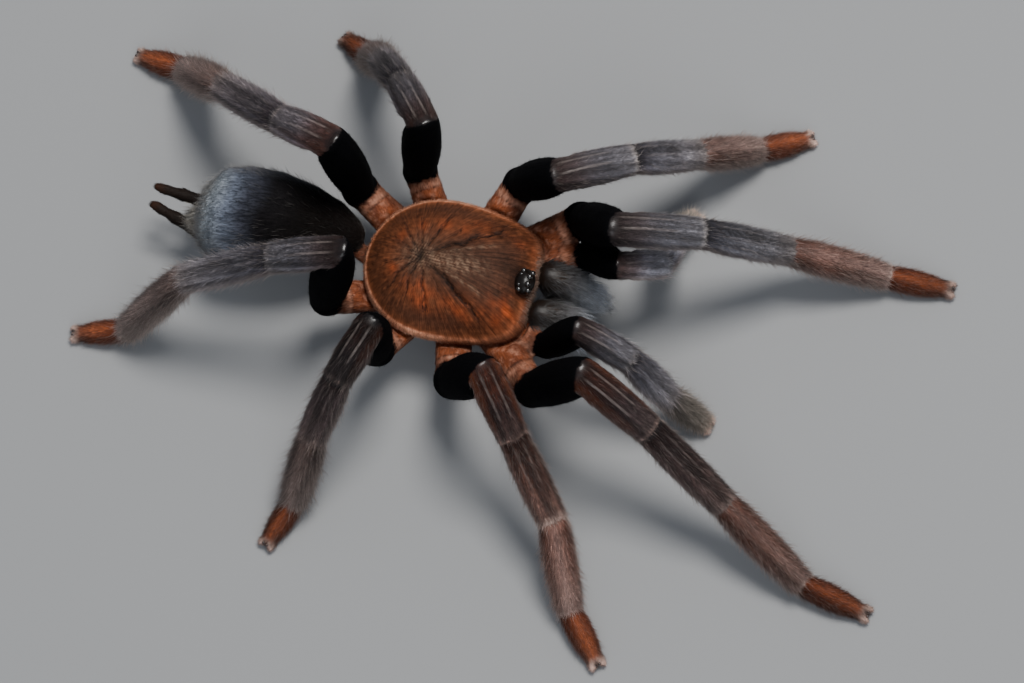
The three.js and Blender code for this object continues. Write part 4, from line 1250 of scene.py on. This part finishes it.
select_only()
bpy.ops.mesh.primitive_uv_sphere_add(
    segments=40, ring_count=24, radius=1, scale=MOUND_HALF, location=mound_centre,
    rotation=(0, 0, MOUND_HEADING))
eye_parts = [bpy.context.object]
eye_parts[0].data.materials.append(mound_cuticle)
for hand in (-1, 1):
    for ahead, aside, radius, flat in LENSES:
        slope = (ahead * MM / MOUND_HALF[0]) ** 2 + (aside * MM / MOUND_HALF[1]) ** 2
        rise = MOUND_HALF[2] * math.sqrt(max(1 - slope, 0.05)) - 0.06 * MM
        spot = mound_centre + AHEAD * ahead * MM + ASIDE * hand * aside * MM + np.array([0, 0, rise])
        bpy.ops.mesh.primitive_uv_sphere_add(
            segments=24, ring_count=14, radius=radius * MM, scale=(1, 1, flat), location=spot,
            rotation=(-hand * aside * 0.6, ahead * 0.9, MOUND_HEADING))
        eye_parts.append(bpy.context.object)
        eye_parts[-1].data.materials.append(eye_lens)
eyes = join(eye_parts, "eyes")
bpy.ops.object.transform_apply(location=True, rotation=True, scale=True)
bpy.ops.object.shade_smooth()
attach(eyes, "root")
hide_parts("eye_mound")

# ------------------------------------------------------------------ the fangs
# Two curved glossy black fangs of horn lie folded back under the jaws, each from the tip of
# its own jaw. They are dark red in places.
horn = grained_material("fang horn", 0.18, 900.0, 3.0, (0.006, 0.003, 0.003), (0.045, 0.014, 0.008),
                        Coat_Weight=0.5, Coat_Roughness=0.08)[0]
for side_name in SIDES:
    fang = fresh_copy(f"fang_{side_name}", f"horn_{side_name}")
    add_modifier(fang, "SUBSURF", levels=2, render_levels=2)
    finish_modifiers(fang)
    fang.data.materials.append(horn)
    bpy.ops.object.shade_smooth()
    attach(fang, "root")
    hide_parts(f"fang_{side_name}")

# ------------------------------------------------------------------ the claws
# Two small dark hooks of horn lie over the pads at the end of each foot, side by side. Each
# is curved down and tapers to its tip.
CLAW_RADIUS, CLAW_BEND, CLAW_THICK, CLAW_TAPER = 0.5 * MM, math.radians(95), 0.13 * MM, 0.85
CLAW_ASIDE, CLAW_HEIGHT, CLAW_AHEAD = 0.2, 0.98 * MM, 0.02
claw_parts = []
for limb in limbs.values():
    way, side = unit(limb["ways"][-1] * [1, 1, 0]), unit(limb["sides"][-1] * [1, 1, 0])
    for hand in (-1, 1):
        root = limb["joints"][-1] * [1, 1, 0] + side * hand * CLAW_ASIDE * MM
        root = root + np.array([0, 0, CLAW_HEIGHT]) + way * CLAW_AHEAD * MM
        hinge = root - np.array([0, 0, CLAW_RADIUS])
        select_only()
        bpy.ops.mesh.primitive_circle_add(
            vertices=8, radius=CLAW_THICK, fill_type="NGON", location=root,
            rotation=Vector(way).to_track_quat("Z", "Y").to_euler())
        claw = bpy.context.object
        bpy.ops.object.transform_apply(location=True, rotation=True, scale=True)
        edit(claw, (bpy.ops.mesh.spin, {"steps": 6, "angle": CLAW_BEND, "center": hinge, "axis": side}))
        points = mesh_points(claw.data)
        swing = climb(np.arctan2((points - hinge) @ way, points[:, 2] - hinge[2]), 0, CLAW_BEND)
        spine = hinge + CLAW_RADIUS * (np.outer(np.sin(swing * CLAW_BEND), way)
                                       + np.outer(np.cos(swing * CLAW_BEND), [0, 0, 1]))
        set_points(claw.data, spine + (points - spine) * (1 - CLAW_TAPER * swing)[:, None])
        claw_parts.append(claw)
claws = join(claw_parts, "claws")
edit(claws, (bpy.ops.mesh.normals_make_consistent, {"inside": False}))
bpy.ops.object.shade_smooth()
claws.data.materials.append(horn)
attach(claws, "root")
